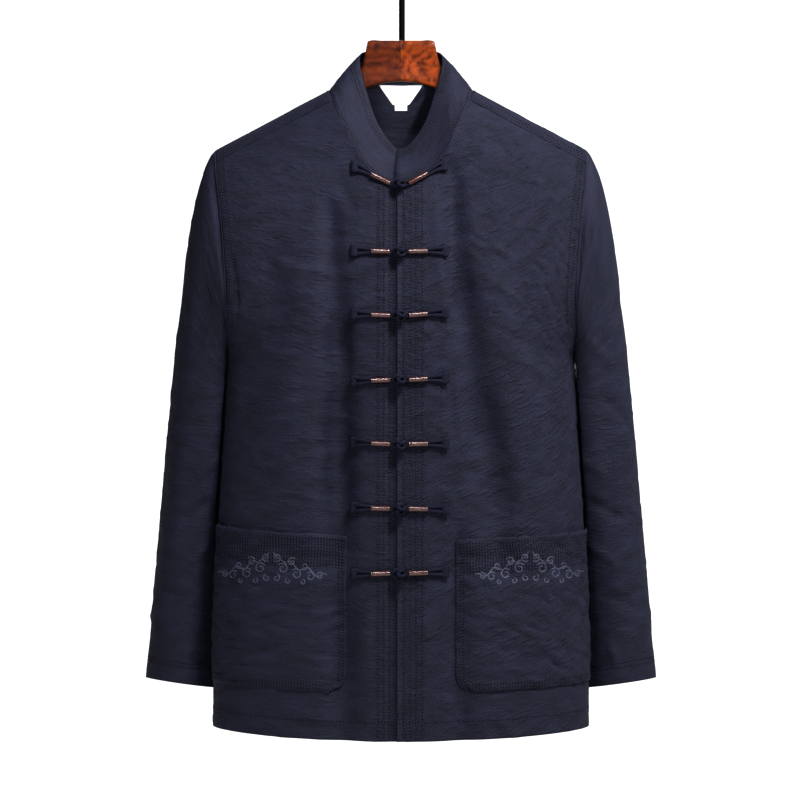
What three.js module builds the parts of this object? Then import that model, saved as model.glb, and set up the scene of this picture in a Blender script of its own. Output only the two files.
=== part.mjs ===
// A kung fu jacket with a stand collar and seven knotted fastenings, on a wooden hanger. Millimetres, +Z up.
// The front faces -Y and +X is the viewer's right. The origin is where a rail touches the inside of the hook.
// "left" and "right" in a name are the wearer's: the left front is at +X and laps over the right one.
import * as THREE from "three";

const { PI, abs, acos, asin, cos, exp, max, min, pow, sign, sin, sqrt } = Math;

// Cloth walls and the gaps between pieces
const WALL = 1.4; // cloth with its facings and turnings averaged in
const PATCH_WALL = 1.2; // a patch pocket
const LABEL_WALL = 1.0;
const SEAM = 0.3; // between two pieces at a seam
const LAY = 0.35; // between a panel and what lies on it
const SLEEVE_CLEAR = 3.0; // between the body's side and the sleeve that hangs against it

// The jacket's own sizes
const NECK_HALF = 80; // centre to the side of the neckline, on the shoulder ridge
const NECK_TOP_Z = -155;
const RIDGE_FALL = 0.53; // drop of the shoulder for each millimetre outwards
const ARCH = 80; // how far below the ridge the cloth has curved round to its full depth
const SEAM_ANGLE = 0.644; // the shoulder seam lies this far forward round the arch, in radians
const EDGE_TURN = 0.0049; // how far a panel's top edge stays off the seam line, in radians round the arch
const UNDERARM_Z = -458;
const ARMHOLE_OPEN = 0.62; // depth of the armhole's edges as a share of the body's depth
const ARMHOLE_ROUND = 85; // height over which the armhole's foot rounds out
const SQUARENESS = 2.5; // 2 is an oval body, larger is squarer
const HEM_Z = -877.5;
const HEM_RISE = 9; // how much higher the hem is at the side seams
const LAP = { over: 4.5, under: 6, full: 10, none: 18 }; // the lap of the fronts, measured from the centre

// Sections of the body: half width at the side or armhole edge, and depth in front of and behind the ridge
const BODY = [
  { z: -885, half: 211.5, front: 90, back: 86 },
  { z: -760, half: 210, front: 88, back: 83 },
  { z: -650, half: 205.5, front: 86, back: 80 },
  { z: -560, half: 200, front: 84, back: 78 },
  { z: -470, half: 195, front: 82, back: 77 },
  { z: -400, half: 193, front: 79, back: 75 },
  { z: -350, half: 195.5, front: 73, back: 70 },
  { z: -300, half: 199.5, front: 63, back: 62 },
  { z: -240, half: 206.5, front: 51, back: 51 },
  { z: -150, half: 207.5, front: 46, back: 46 },
];

// The front neckline: how high its edge is at each distance from the centre
const NECK_FRONT = [
  { x: 0, z: -262 },
  { x: 14.5, z: -260.5 },
  { x: 34.5, z: -249 },
  { x: 49, z: -228.5 },
  { x: 62, z: -200 },
  { x: 76.5, z: -170.4 },
];

// The back neckline: x on the neckline and the angle round the arch, for each column of the panel below it
const NECK_BACK = [
  { column: 0, x: 0, arch: 0.93 },
  { column: 22, x: 24, arch: 0.77 },
  { column: 42, x: 46, arch: 0.6 },
  { column: 56, x: 64, arch: 0.43 },
  { column: 65, x: 75, arch: 0.25 },
  { column: 72, x: 80, arch: 0 },
  { column: 74.5, x: 79.3, arch: -0.33 },
  { column: 77, x: 76.5, arch: -SEAM_ANGLE },
];
const NECK_COLUMN = 77; // the column of both panels that ends where the shoulder seam meets the neckline

// The collar's top edge, by the share of the way round the neckline from the centre back to the centre front
const COLLAR_TOP = [
  { turn: 0, x: 0, y: 31, z: -107 },
  { turn: 0.17, x: 26, y: 27, z: -108 },
  { turn: 0.31, x: 41, y: 12, z: -110.5 },
  { turn: 0.39, x: 46, y: -2, z: -117 },
  { turn: 0.49, x: 44, y: -11, z: -136 },
  { turn: 0.63, x: 36.5, y: -15, z: -163 },
  { turn: 0.75, x: 28.5, y: -18, z: -188 },
  { turn: 0.85, x: 19, y: -20, z: -206 },
  { turn: 0.94, x: 7, y: -21.5, z: -219.5 },
  { turn: 1, x: 0, y: -22, z: -223 },
];
const COLLAR_FOOT = 0.8; // between the neckline and the collar's lower edge, measured up the collar
const COLLAR_CROWN = 1.3; // how far the band stands out between its edges
const COLLAR_END = 3.5; // how far the collar's ends reach past the fronts' edges
const COLLAR_REACH = 0.993; // share of the way to its top line that the collar's cloth reaches
const NECK_MIDDLE_Y = 5; // the neckline's middle, from which the collar faces outwards

// Sections of a hanging sleeve below the underarm: its middle, half width and half depth
const SLEEVE = [
  { z: -827, x: 249, y: 51, wide: 42.5, deep: 50 },
  { z: -760, x: 246, y: 49, wide: 41.5, deep: 53 },
  { z: -650, x: 236, y: 44, wide: 41, deep: 57 },
  { z: -560, x: 228, y: 39, wide: 39.5, deep: 61 },
  { z: -504, x: 223, y: 36, wide: 39, deep: 62 },
];
const SLEEVE_TOP_Z = -504;
const CUFF_Z = -826.5;
// Rise of the cuff's edge for each millimetre outwards and backwards
const CUFF_SLANT = { across: 0.142, back: -0.07 };
// How far the sleeve keeps the armhole's direction and the tube's, as shares of its way down
const CAP_PULL = { foot: 0.1, top: 0.13, tube: 0.36 };
// The way in which the sleeve leaves the armhole: outwards, to its face, down, and further down at both ends
const CAP_WAY = { out: 0.85, face: 0.25, down: 0.25, ends: 0.45 };
const CLEAR_FADE = 12; // height over which the sleeve comes clear of the body below the underarm

// Folds of the fronts: a line from (x1, z1) down to (x2, z2), its half width, and its height outwards.
// A flat one has a flat top.
const FRONT_FOLDS = [
  { name: "placket", x1: -2, z1: -235, x2: -2, z2: -900, wide: 50, high: 3.5, flat: true },
  { name: "right valley", x1: -66, z1: -390, x2: -69, z2: -655, wide: 17, high: -8 },
  { name: "right hem valley", x1: -64, z1: -690, x2: -62, z2: -900, wide: 15, high: -5 },
  { name: "left valley high", x1: 60, z1: -330, x2: 82, z2: -470, wide: 16, high: -6 },
  { name: "left valley low", x1: 84, z1: -470, x2: 122, z2: -660, wide: 17, high: -7 },
  { name: "left hem valley", x1: 56, z1: -620, x2: 66, z2: -900, wide: 15, high: -5 },
  { name: "right chest", x1: -150, z1: -300, x2: -120, z2: -480, wide: 24, high: -4 },
  { name: "left chest", x1: 150, z1: -290, x2: 118, z2: -440, wide: 24, high: -4 },
];
const BACK_FOLDS = [
  { name: "centre back", x1: 8, z1: -300, x2: 4, z2: -900, wide: 34, high: -6 },
  { name: "right blade", x1: -92, z1: -330, x2: -64, z2: -900, wide: 26, high: 5 },
  { name: "left blade", x1: 96, z1: -320, x2: 74, z2: -900, wide: 26, high: 6 },
  { name: "right side back", x1: -150, z1: -420, x2: -132, z2: -900, wide: 20, high: -6 },
  { name: "left side back", x1: 148, z1: -400, x2: 138, z2: -900, wide: 20, high: -5 },
];
const FOLD_FADE = 60; // length over which a fold fades out at its ends
// Folds of a sleeve: the angle round it at the top and the foot, in degrees from the side against the body,
// the first front and then outwards, its half width in degrees, and its height outwards
const SLEEVE_FOLDS = [
  { name: "front ridge", a1: 70, z1: -290, a2: 52, z2: -640, wide: 18, high: 4 },
  { name: "front valley", a1: 106, z1: -330, a2: 92, z2: -700, wide: 17, high: -4 },
  { name: "elbow back", a1: 285, z1: -430, a2: 250, z2: -690, wide: 20, high: -5 },
  { name: "outer", a1: 150, z1: -560, a2: 175, z2: -820, wide: 22, high: -3 },
];

// Pockets
const POCKET_X = 60; // from the centre to a pocket's inner edge
const POCKET_TOP = 0.548; // its edges as shares of the way from the hem to the underarm
const POCKET_FOOT = 0.125;
const POCKET_CORNER = 0.35; // share of a cell that the rounded lower corner cuts off

// Columns of the panels: distances from the centre, then shares of the way from the neck column to the edge
const INNER_COLUMNS = [LAP.full, LAP.none, 29, 43, POCKET_X, NECK_COLUMN];
const OUTER_SHARES = [0.12, 0.25, 0.38, 0.51, 0.64, 0.76, 0.88, 1];
// Rows: shares of the way from the hem to the underarm, and from there to the top edge
const RIDGE_ROW = 0.85; // the back's row that lies on the shoulder ridge beside the neck
// Columns from this share of the neck column draw in to the ridge, and swing out by this much to pass the
// neckline's side
const NECK_SIDE = { from: 0.5, swing: 4.5 };
const LOW_ROWS = [0, 0.06, POCKET_FOOT, 0.23, 0.335, 0.44, POCKET_TOP, 0.66, 0.77, 0.88, 1];
const FRONT_ROWS = [0.05, 0.13, 0.25, 0.4, 0.55, 0.7, 0.82, 0.92, 1];
const BACK_ROWS = [0.05, 0.12, 0.22, 0.34, 0.46, 0.57, 0.67, 0.77, RIDGE_ROW, 0.93, 1];
const CAP_ROWS = [0, 0.08, 0.2, 0.36, 0.54, 0.76]; // from the armhole to the top of the hanging tube
const TUBE_ROWS = [0, 0.16, 0.33, 0.5, 0.67, 0.84, 1];
const COLLAR_ROWS = [0, 0.33, 0.67, 1];

const PROBE_STEP = 0.004; // step in row and column over which a sheet's direction is found

// Fastenings
const FASTENING = {
  middle: -1.8, // x of the knots
  first: -341, // z of the second fastening, below the one at the neck
  pitch: 70.5,
  knot: 7.2, // radius
  tube: 2.9, // radius
  tubeStart: 10.5,
  tubeEnd: 31,
  strapEnd: 54,
  strapHigh: 12,
  strapNeck: 6,
  strapThick: 3.2,
};
const STRAP_BOX = 7; // length of a strap's sewn end
const STRAP_STEP = 1.5;
const NECK_KNOT_Z = -265.5;
const NECK_LIFT = 0.1; // the fastening at the neck also clears the collar's foot
// How much each strap's outer end is above its knot, from the neck down, on the wearer's right and left
const STRAP_RISE = [
  { right: 20, left: 22 },
  { right: 1, left: 1 },
  { right: 1.5, left: 3.5 },
  { right: -1.5, left: 2 },
  { right: 2, left: 1 },
  { right: 1, left: -0.5 },
  { right: -1, left: 1.5 },
];

// The label, the hanger and its hook
// The label narrows downwards to a tab: its half width at each distance below the collar seam
const LABEL = [
  { down: 29, half: 7 },
  { down: 23, half: 7 },
  { down: 22.4, half: 9.5 },
  { down: 11, half: 17.5 },
  { down: 1.5, half: 25 },
];
const LABEL_LIFT = 1.1; // between the back and the label
const WOOD_GAP = 0.8; // between the hanger's arm and the cloth on it
// Sections of a hanger's half: its top and bottom edges, its half thickness, and how round the section is
const HANGER = [
  { x: 0.15, top: -100, foot: -145.5, thick: 7, round: 0.45 },
  { x: 20, top: -100, foot: -147.5, thick: 7, round: 0.45 },
  { x: 37.5, top: -101, foot: -153, thick: 7, round: 0.45 },
  { x: 39.5, top: -110, foot: -154, thick: 7, round: 0.5 },
  { x: 43, top: -124, foot: -156, thick: 6.4, round: 0.7 },
  { x: 52, top: -145, foot: -163, thick: 6.2, round: 0.9 },
  { x: 66, top: -156, foot: -172, thick: 6.6, round: 1 },
  { x: 84, foot: -182, thick: 7.6, round: 1 },
  { x: 110, foot: -197, thick: 8.6, round: 1 },
  { x: 140, foot: -213, thick: 9.2, round: 1 },
  { x: 170, foot: -228, thick: 9.4, round: 1 },
  { x: 184, foot: -234, thick: 8.6, round: 1 },
  { x: 189, foot: -232, thick: 5.5, round: 1 },
];
// The hook: its wire's radius, its inner radius, the shank's x and top, the angles at which the shank joins
// the round and at which the round ends, in degrees, and the length of the bend's handles
const HOOK = { wire: 3.4, inner: 19, x: 1, straight: -55, join: -35, tip: 205, bend: 11 };
const HOOK_STEPS = 34;

const CLOTH = { color: 0x262736, roughness: 0.86, metalness: 0 };
const CLOTH_PATCH = { color: 0x22232f, roughness: 0.86, metalness: 0 };
const CORD = { color: 0x1a1b26, roughness: 0.8, metalness: 0 };
const COPPER = { color: 0x9a5236, roughness: 0.32, metalness: 0.9 };
const WOOD_DARK = { color: 0x7c3a1e, roughness: 0.35, metalness: 0 };
const WOOD_LIGHT = { color: 0xa85a2c, roughness: 0.35, metalness: 0 };
const WIRE = { color: 0x101012, roughness: 0.35, metalness: 0.8 };
const CREAM = { color: 0xe6ddd0, roughness: 0.7, metalness: 0 };

const part = new THREE.Group();
const lerp = (a, b, t) => a + (b - a) * t;
const clamp = (t) => min(1, max(0, t));
const smooth = (t) => clamp(t) * clamp(t) * (3 - 2 * clamp(t));
const v3 = (x, y, z) => new THREE.Vector3(x, y, z);

// A smooth curve through one column of a table whose rows are in order of key, straight past its ends
function curve(table, key, column) {
  const at = table.map((row) => row[key]);
  const value = table.map((row) => row[column]);
  const last = at.length - 1;
  const rate = (i, j) => (value[j] - value[i]) / (at[j] - at[i]);
  const slope = at.map((_, i) => rate(max(0, i - 1), min(last, i + 1)));
  slope[0] = rate(0, 1);
  slope[last] = rate(last - 1, last);
  return (u) => {
    if (u <= at[0]) return value[0] + slope[0] * (u - at[0]);
    if (u >= at[last]) return value[last] + slope[last] * (u - at[last]);
    const i = at.findIndex((a) => a > u) - 1;
    const h = at[i + 1] - at[i];
    const t = (u - at[i]) / h;
    const ends = value[i] * (1 + 2 * t) * (1 - t) ** 2 + value[i + 1] * t * t * (3 - 2 * t);
    return ends + h * (slope[i] * t * (1 - t) ** 2 - slope[i + 1] * t * t * (1 - t));
  };
}

const halfAt = curve(BODY, "z", "half");
const depthAt = { front: curve(BODY, "z", "front"), back: curve(BODY, "z", "back") };
const neckFrontZ = curve(NECK_FRONT, "x", "z");
const neckBackX = curve(NECK_BACK, "column", "x");
const neckBackArch = curve(NECK_BACK, "column", "arch");
const ridgeZ = (x) => NECK_TOP_Z - RIDGE_FALL * (abs(x) - NECK_HALF);
const signedPow = (t, p) => sign(t) * pow(abs(t), p);

// How far below the ridge the cloth is at an angle round the shoulder's arch, and back
const dropAt = (w) => (abs(w) < PI / 2 ? ARCH * (1 - cos(w)) : ARCH * (1 + abs(w) - PI / 2));
function archAt(x, z) {
  const drop = max(0, ridgeZ(x) - z);
  return drop < ARCH ? acos(1 - drop / ARCH) : PI / 2 + drop / ARCH - 1;
}

// The height of all folds in a table at a place on the front or back
function foldHeight(folds, x, z) {
  let height = 0;
  for (const fold of folds) {
    const down = (fold.z1 - z) / (fold.z1 - fold.z2);
    const pastHem = fold.z2 < HEM_Z ? 1 : 0;
    const fade = smooth((fold.z1 - z) / FOLD_FADE) * smooth((z - fold.z2) / FOLD_FADE + pastHem);
    const off = (x - lerp(fold.x1, fold.x2, clamp(down))) / fold.wide;
    height += fold.high * fade * exp(-(off ** (fold.flat ? 4 : 2)));
  }
  return height;
}

// Where a column crosses a section: its x, and the share of the section's depth that it has there.
// A column up to 1 is a share of the neck column, and from 1 to 2 it goes on to the edge.
function plan(column, half, edgeTurn) {
  const reach = pow(sin(edgeTurn), 2 / SQUARENESS);
  if (column <= 1) {
    const x = column * NECK_COLUMN;
    return { x, share: pow(1 - pow((abs(x) / half) * reach, SQUARENESS), 1 / SQUARENESS) };
  }
  const start = asin(pow((NECK_COLUMN / half) * reach, SQUARENESS / 2));
  const turn = lerp(start, edgeTurn, column - 1);
  return {
    x: (half * pow(sin(turn), 2 / SQUARENESS)) / reach,
    share: signedPow(cos(turn), 2 / SQUARENESS),
  };
}

// The turn at the panel's edge: a quarter at the side seam, less along the armhole
function armholeTurn(z) {
  const up = clamp((z - UNDERARM_Z) / ARMHOLE_ROUND);
  const open = ARMHOLE_OPEN * sqrt(1 - (1 - up) ** 2);
  return acos(pow(open, SQUARENESS / 2));
}

// The angle round the arch at which a column's top edge lies
function topArch(face, column) {
  if (column > 1) return face === "front" ? SEAM_ANGLE + EDGE_TURN : -SEAM_ANGLE + EDGE_TURN;
  const x = column * NECK_COLUMN;
  return face === "front" ? archAt(x, neckFrontZ(abs(x))) + EDGE_TURN : neckBackArch(x) + EDGE_TURN;
}

// The angle round the arch on the way up a column. On the back, the columns beside the neck come down to the
// ridge, or to the neckline where that lies behind it, by the ridge row.
function archOnWay(face, column, foot, up) {
  const top = topArch(face, column);
  if (face === "front") return lerp(foot, top, up);
  const beside = clamp((column - NECK_SIDE.from) / (1 - NECK_SIDE.from));
  const ridge = lerp(max(0, top), foot, (1 - RIDGE_ROW) * (1 - beside));
  if (up < RIDGE_ROW) return lerp(foot, ridge, up / RIDGE_ROW);
  return lerp(ridge, top, (up - RIDGE_ROW) / (1 - RIDGE_ROW));
}

// A point of the body's outer face. A row up to 1 is a share of the way from the hem to the underarm, and
// from 1 to 2 it goes on to the top edge. across is 1 for the half at +X and -1 for the other.
function bodyPoint(face, across, column, row) {
  let x, z, share, arch;
  if (row <= 1) {
    const half = halfAt(lerp(HEM_Z + HEM_RISE, UNDERARM_Z, row));
    ({ x, share } = plan(column, half, PI / 2));
    z = lerp(HEM_Z + HEM_RISE * (x / half) ** 2, UNDERARM_Z, row);
    arch = PI / 2;
  } else {
    const up = row - 1;
    const foot = plan(column, halfAt(UNDERARM_Z), PI / 2);
    const half = halfAt(UNDERARM_Z);
    const edgeArch = archOnWay(face, 2, archAt(half, UNDERARM_Z), up);
    let edgeX = half;
    for (let i = 0; i < 4; i++) edgeX = halfAt(ridgeZ(edgeX) - dropAt(edgeArch));
    ({ x, share } = plan(column, edgeX, armholeTurn(ridgeZ(edgeX) - dropAt(edgeArch))));
    if (face === "back") {
      if (column <= 1) x = lerp(x, neckBackX(abs(x)) * sign(x), up * up);
      const nearRidge = max(0, 1 - ((up - RIDGE_ROW) / (1 - RIDGE_ROW)) ** 2);
      x += NECK_SIDE.swing * nearRidge * smooth(1 - abs(column - 1) / (1 - NECK_SIDE.from));
    }
    arch = archOnWay(face, column, archAt(foot.x, UNDERARM_Z), up);
    z = ridgeZ(x) - dropAt(arch);
  }
  const toFace = face === "front" ? -1 : 1;
  const bend = sign(arch) * sin(min(PI / 2, abs(arch)));
  const folds = foldHeight(face === "front" ? FRONT_FOLDS : BACK_FOLDS, x * across, z);
  const depth = depthAt[bend < 0 ? "front" : face](z);
  return v3(x * across, toFace * bend * share * (depth + folds), z);
}

// A sheet's points and outward directions over rows and columns, from a function of both
function grid(rows, columns, pointAt, outward) {
  const step = PROBE_STEP;
  const points = rows.map((r) => columns.map((c) => pointAt(c, r)));
  const normals = rows.map((r) =>
    columns.map((c) => {
      const along = pointAt(c + step, r).sub(pointAt(c - step, r));
      const up = pointAt(c, r + step).sub(pointAt(c, r - step));
      return along.cross(up).normalize().multiplyScalar(outward);
    }),
  );
  return { points, normals };
}

// A closed wall between a sheet moved out by near and by far along its directions.
// A ring's last column joins its first.
function wallMesh(name, sheet, near, far, material, ring = false) {
  const { points, normals } = sheet;
  const rows = points.length;
  const columns = points[0].length;
  const vertices = [];
  for (const out of [far, near]) {
    for (let r = 0; r < rows; r++) {
      for (let c = 0; c < columns; c++) {
        const p = points[r][c].clone().addScaledVector(normals[r][c], out);
        vertices.push(p.x, p.y, p.z);
      }
    }
  }
  const id = (layer, r, c) => (layer * rows + r) * columns + (c % columns);
  const faces = [];
  const quad = (a, b, c, d) => faces.push(a, b, c, a, c, d);
  const spans = ring ? columns : columns - 1;
  for (let r = 0; r < rows - 1; r++) {
    for (let c = 0; c < spans; c++) {
      quad(id(0, r, c), id(0, r, c + 1), id(0, r + 1, c + 1), id(0, r + 1, c));
      faces.push(id(1, r, c), id(1, r + 1, c + 1), id(1, r, c + 1));
      faces.push(id(1, r, c), id(1, r + 1, c), id(1, r + 1, c + 1));
    }
  }
  for (let c = 0; c < spans; c++) {
    quad(id(1, 0, c), id(1, 0, c + 1), id(0, 0, c + 1), id(0, 0, c));
    quad(id(0, rows - 1, c), id(0, rows - 1, c + 1), id(1, rows - 1, c + 1), id(1, rows - 1, c));
  }
  if (!ring) {
    const end = columns - 1;
    for (let r = 0; r < rows - 1; r++) {
      quad(id(0, r, 0), id(0, r + 1, 0), id(1, r + 1, 0), id(1, r, 0));
      quad(id(1, r, end), id(1, r + 1, end), id(0, r + 1, end), id(0, r, end));
    }
  }
  return addSolid(name, vertices, faces, material);
}

// A named mesh from closed faces, turned so that they point out
function addSolid(name, vertices, faces, material) {
  const corner = (i) => v3(...vertices.slice(3 * faces[i], 3 * faces[i] + 3));
  let volume = 0;
  for (let i = 0; i < faces.length; i += 3) volume += corner(i).dot(corner(i + 1).cross(corner(i + 2)));
  const geometry = new THREE.BufferGeometry();
  geometry.setAttribute("position", new THREE.Float32BufferAttribute(vertices, 3));
  geometry.setIndex(volume < 0 ? faces.reverse() : faces);
  geometry.computeVertexNormals();
  return addMesh(name, geometry, material);
}

function addMesh(name, geometry, material) {
  const mesh = new THREE.Mesh(geometry, new THREE.MeshStandardMaterial(material));
  mesh.name = name;
  part.add(mesh);
  return mesh;
}

const outerColumns = OUTER_SHARES.map((share) => 1 + share);
const bodyRows = (highRows) => [...LOW_ROWS, ...highRows.map((row) => 1 + row)];

// A front: across is 1 for the left front, which laps over, and -1 for the right one, which lies under
function frontSheet(across) {
  const edge = across > 0 ? LAP.over : LAP.under;
  const columns = [-edge, ...INNER_COLUMNS].map((x) => x / NECK_COLUMN).concat(outerColumns);
  const pointAt = (c, r) => bodyPoint("front", across, c, r);
  const sheet = grid(bodyRows(FRONT_ROWS), columns, pointAt, across);
  sheet.points.forEach((row, r) => {
    row[row.length - 1].y -= r < LOW_ROWS.length ? SEAM / 2 : 0;
    if (across < 0) {
      for (const c of [0, 1]) row[c].addScaledVector(sheet.normals[r][c], -(WALL + SEAM));
    }
  });
  return sheet;
}

function backSheet() {
  const half = [...NECK_BACK.slice(1).map((row) => row.column / NECK_COLUMN), ...outerColumns];
  const columns = [...half.map((c) => -c).reverse(), 0, ...half];
  const pointAt = (c, r) => bodyPoint("back", sign(c) || 1, abs(c), r);
  const sheet = grid(bodyRows(BACK_ROWS), columns, pointAt, -1);
  const last = columns.length - 1;
  sheet.points.slice(0, LOW_ROWS.length).forEach((row) => [0, last].forEach((c) => (row[c].y += SEAM / 2)));
  return sheet;
}

const frontLeft = frontSheet(1);
const frontRight = frontSheet(-1);
const back = backSheet();

// The armhole's edge on one side, from the underarm up the front, over the shoulder and down the back
function armhole(across) {
  const front = across > 0 ? frontLeft : frontRight;
  const edge = (sheet, c) => sheet.points.slice(LOW_ROWS.length - 1).map((row) => row[c].clone());
  const up = edge(front, front.points[0].length - 1);
  const down = edge(back, across > 0 ? back.points[0].length - 1 : 0).reverse();
  up[0].y = 0;
  return [...up, ...down.slice(1, -1)];
}

const sleeveAt = Object.fromEntries(["x", "y", "wide", "deep"].map((key) => [key, curve(SLEEVE, "z", key)]));

// A point of the hanging tube, at an angle from the side against the body, round by the front
function tubePoint(angle, z) {
  const out = -sleeveAt.wide(z) * cos(angle);
  const behind = -sleeveAt.deep(z) * sin(angle);
  const lower = clamp((SLEEVE_TOP_Z - z) / (SLEEVE_TOP_Z - CUFF_Z));
  const rise = lower * (CUFF_SLANT.across * out + CUFF_SLANT.back * behind);
  return v3(sleeveAt.x(z) + out, sleeveAt.y(z) + behind, z + rise);
}

// Moves a point out of the body's side, so that the sleeve hangs just clear of it
function clearOfBody(p) {
  const depth = depthAt[p.y < 0 ? "front" : "back"](p.z) + SLEEVE_CLEAR;
  if (p.z > UNDERARM_Z || abs(p.y) >= depth) return p;
  const side = halfAt(p.z) * pow(1 - pow(abs(p.y) / depth, SQUARENESS), 1 / SQUARENESS) + SLEEVE_CLEAR;
  p.x = max(p.x, lerp(p.x, side, smooth((UNDERARM_Z - p.z) / CLEAR_FADE)));
  return p;
}

function sleeveSheet(across) {
  const loop = armhole(across).map((p) => v3(abs(p.x), p.y, p.z));
  const count = loop.length;
  const lengths = loop.map((p, i) => p.distanceTo(loop[(i + 1) % count]));
  const whole = lengths.reduce((a, b) => a + b, 0);
  let gone = 0;
  const angles = lengths.map((length) => {
    const angle = (2 * PI * gone) / whole;
    gone += length;
    return angle;
  });
  const pointOf = (c, t) => {
    const angle = angles[c];
    if (t >= 1) return tubePoint(angle, lerp(SLEEVE_TOP_Z, CUFF_Z, t - 1));
    const start = loop[c].clone().add(v3(SEAM, 0, c === 0 ? SEAM : 0));
    const end = tubePoint(angle, SLEEVE_TOP_Z);
    const way = start.distanceTo(end);
    const { out, face, down, ends } = CAP_WAY;
    const leave = v3(out, -face * sin(angle), -down - ends * cos(angle) ** 2).normalize();
    const fall = end.clone().sub(tubePoint(angle, SLEEVE_TOP_Z - 1)).normalize();
    const pull = lerp(CAP_PULL.foot, CAP_PULL.top, (1 - cos(angle)) / 2);
    const first = start.clone().addScaledVector(leave, way * pull);
    const second = end.clone().addScaledVector(fall, way * CAP_PULL.tube);
    return new THREE.CubicBezierCurve3(start, first, second, end).getPoint(t);
  };
  const rows = [...CAP_ROWS, ...TUBE_ROWS.map((t) => 1 + t)];
  const points = rows.map((t) =>
    angles.map((angle, c) => {
      const p = pointOf(c, t);
      const degrees = (angle * 180) / PI;
      let height = 0;
      for (const fold of SLEEVE_FOLDS) {
        const middle = lerp(fold.a1, fold.a2, clamp((fold.z1 - p.z) / (fold.z1 - fold.z2)));
        const fade = smooth((fold.z1 - p.z) / FOLD_FADE) * smooth((p.z - fold.z2) / FOLD_FADE);
        height += fold.high * fade * exp(-(((degrees - middle) / fold.wide) ** 2));
      }
      if (t > 0) p.add(v3(-cos(angle), -sin(angle), 0).multiplyScalar(height));
      if (t > 0) clearOfBody(p);
      p.x *= across;
      return p;
    }),
  );
  const normals = points.map((row, r) =>
    row.map((_, c) => {
      const around = row[(c + 1) % count].clone().sub(row[(c + count - 1) % count]);
      const above = points[max(0, r - 1)][c];
      const below = points[min(rows.length - 1, r + 1)][c];
      if (r === 0) return v3(0, -around.z, around.y).normalize();
      return around.cross(below.clone().sub(above)).normalize().multiplyScalar(-across);
    }),
  );
  return { points, normals };
}

// The neckline's edge from the centre back to the centre front on one side, with each point's direction
function neckline(across) {
  const front = across > 0 ? frontLeft : frontRight;
  const middle = (back.points[0].length - 1) / 2;
  const edge = [];
  const take = (sheet, c) => {
    const r = sheet.points.length - 1;
    edge.push({ point: sheet.points[r][c].clone(), normal: sheet.normals[r][c].clone() });
  };
  for (let i = 0; i < NECK_BACK.length; i++) take(back, middle + across * i);
  for (let c = INNER_COLUMNS.length - 1; c >= 0; c--) take(front, c);
  return edge;
}

const collarTop = Object.fromEntries(["x", "y", "z"].map((key) => [key, curve(COLLAR_TOP, "turn", key)]));

function collarSheet() {
  const sides = [-1, 1].map((across) => {
    const edge = neckline(across);
    edge.at(-1).point.x -= across * COLLAR_END;
    const steps = edge.map((e, i) => (i ? e.point.distanceTo(edge[i - 1].point) : 0));
    const atCentre = edge.length - 1;
    let gone = 0;
    const turns = steps.map((step) => (gone += step));
    const last = edge[atCentre].point;
    const toCentre = turns[atCentre - 1] + abs(edge[atCentre - 1].point.x);
    return edge.map((e, i) => {
      const turn = i === atCentre ? 2 - (toCentre - abs(last.x)) / toCentre : turns[i] / toCentre;
      const mirrored = turn > 1 ? 2 - turn : turn;
      const side = turn > 1 ? -across : across;
      const top = v3(collarTop.x(mirrored) * side, collarTop.y(mirrored), collarTop.z(mirrored));
      const under = across < 0 && i >= atCentre - 1 ? WALL + SEAM : 0;
      return { ...e, top, under };
    });
  });
  const stations = [...sides[0].reverse().slice(0, -1), ...sides[1]];
  const count = stations.length;
  const points = COLLAR_ROWS.map((up) =>
    stations.map(({ point, top, under }) => {
      const rise = top.clone().sub(point);
      const along = rise.clone().normalize();
      const out = v3(point.x, point.y - NECK_MIDDLE_Y, 0).normalize();
      out.addScaledVector(along, -out.dot(along)).normalize();
      const p = point.clone().addScaledVector(along, COLLAR_FOOT).addScaledVector(rise, up * COLLAR_REACH);
      return p.addScaledVector(out, COLLAR_CROWN * 4 * up * (1 - up) - (up > 0 ? under : 0));
    }),
  );
  const normals = points.map((row, r) =>
    row.map((_, c) => {
      if (r === 0) return stations[c].normal;
      const along = row[min(count - 1, c + 1)].clone().sub(row[max(0, c - 1)]);
      const up = points[min(COLLAR_ROWS.length - 1, r + 1)][c].clone().sub(points[r - 1][c]);
      return up.cross(along).normalize();
    }),
  );
  return { points, normals };
}

// A pocket lies on the front from its inner edge to the side seam, and is made from the front's own points
function pocketSheet(sheet) {
  const firstColumn = 1 + INNER_COLUMNS.indexOf(POCKET_X);
  const firstRow = LOW_ROWS.indexOf(POCKET_FOOT);
  const lastRow = LOW_ROWS.indexOf(POCKET_TOP);
  const cut = (row) => row.slice(firstColumn).map((p) => p.clone());
  const block = (table) => table.slice(firstRow, lastRow + 1).map(cut);
  const pocket = { points: block(sheet.points), normals: block(sheet.normals) };
  pocket.points[0][0].lerp(pocket.points[1][1], POCKET_CORNER);
  return pocket;
}

// The y of a sheet at (x, z), or of its nearest cloth below that
function yOnSheet(sheet, x, z) {
  for (let r = 0; r + 1 < sheet.points.length; r++) {
    for (let c = 0; c + 1 < sheet.points[r].length; c++) {
      const ends = [sheet.points[r][c], sheet.points[r + 1][c + 1]];
      for (const third of [sheet.points[r][c + 1], sheet.points[r + 1][c]]) {
        const [a, b, d] = [...ends, third].map((p) => v3(p.x, p.z, 0));
        const share = new THREE.Triangle(a, b, d).getBarycoord(v3(x, z, 0), v3(0, 0, 0));
        if (share && min(share.x, share.y, share.z) > -1e-6) {
          return ends[0].y * share.x + ends[1].y * share.y + third.y * share.z;
        }
      }
    }
  }
  return yOnSheet(sheet, x, z - 1);
}

// The y of the fronts' outer face at (x, z)
const onFront = (x, z) => yOnSheet(x > -LAP.over ? frontLeft : frontRight, x, z);

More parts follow.
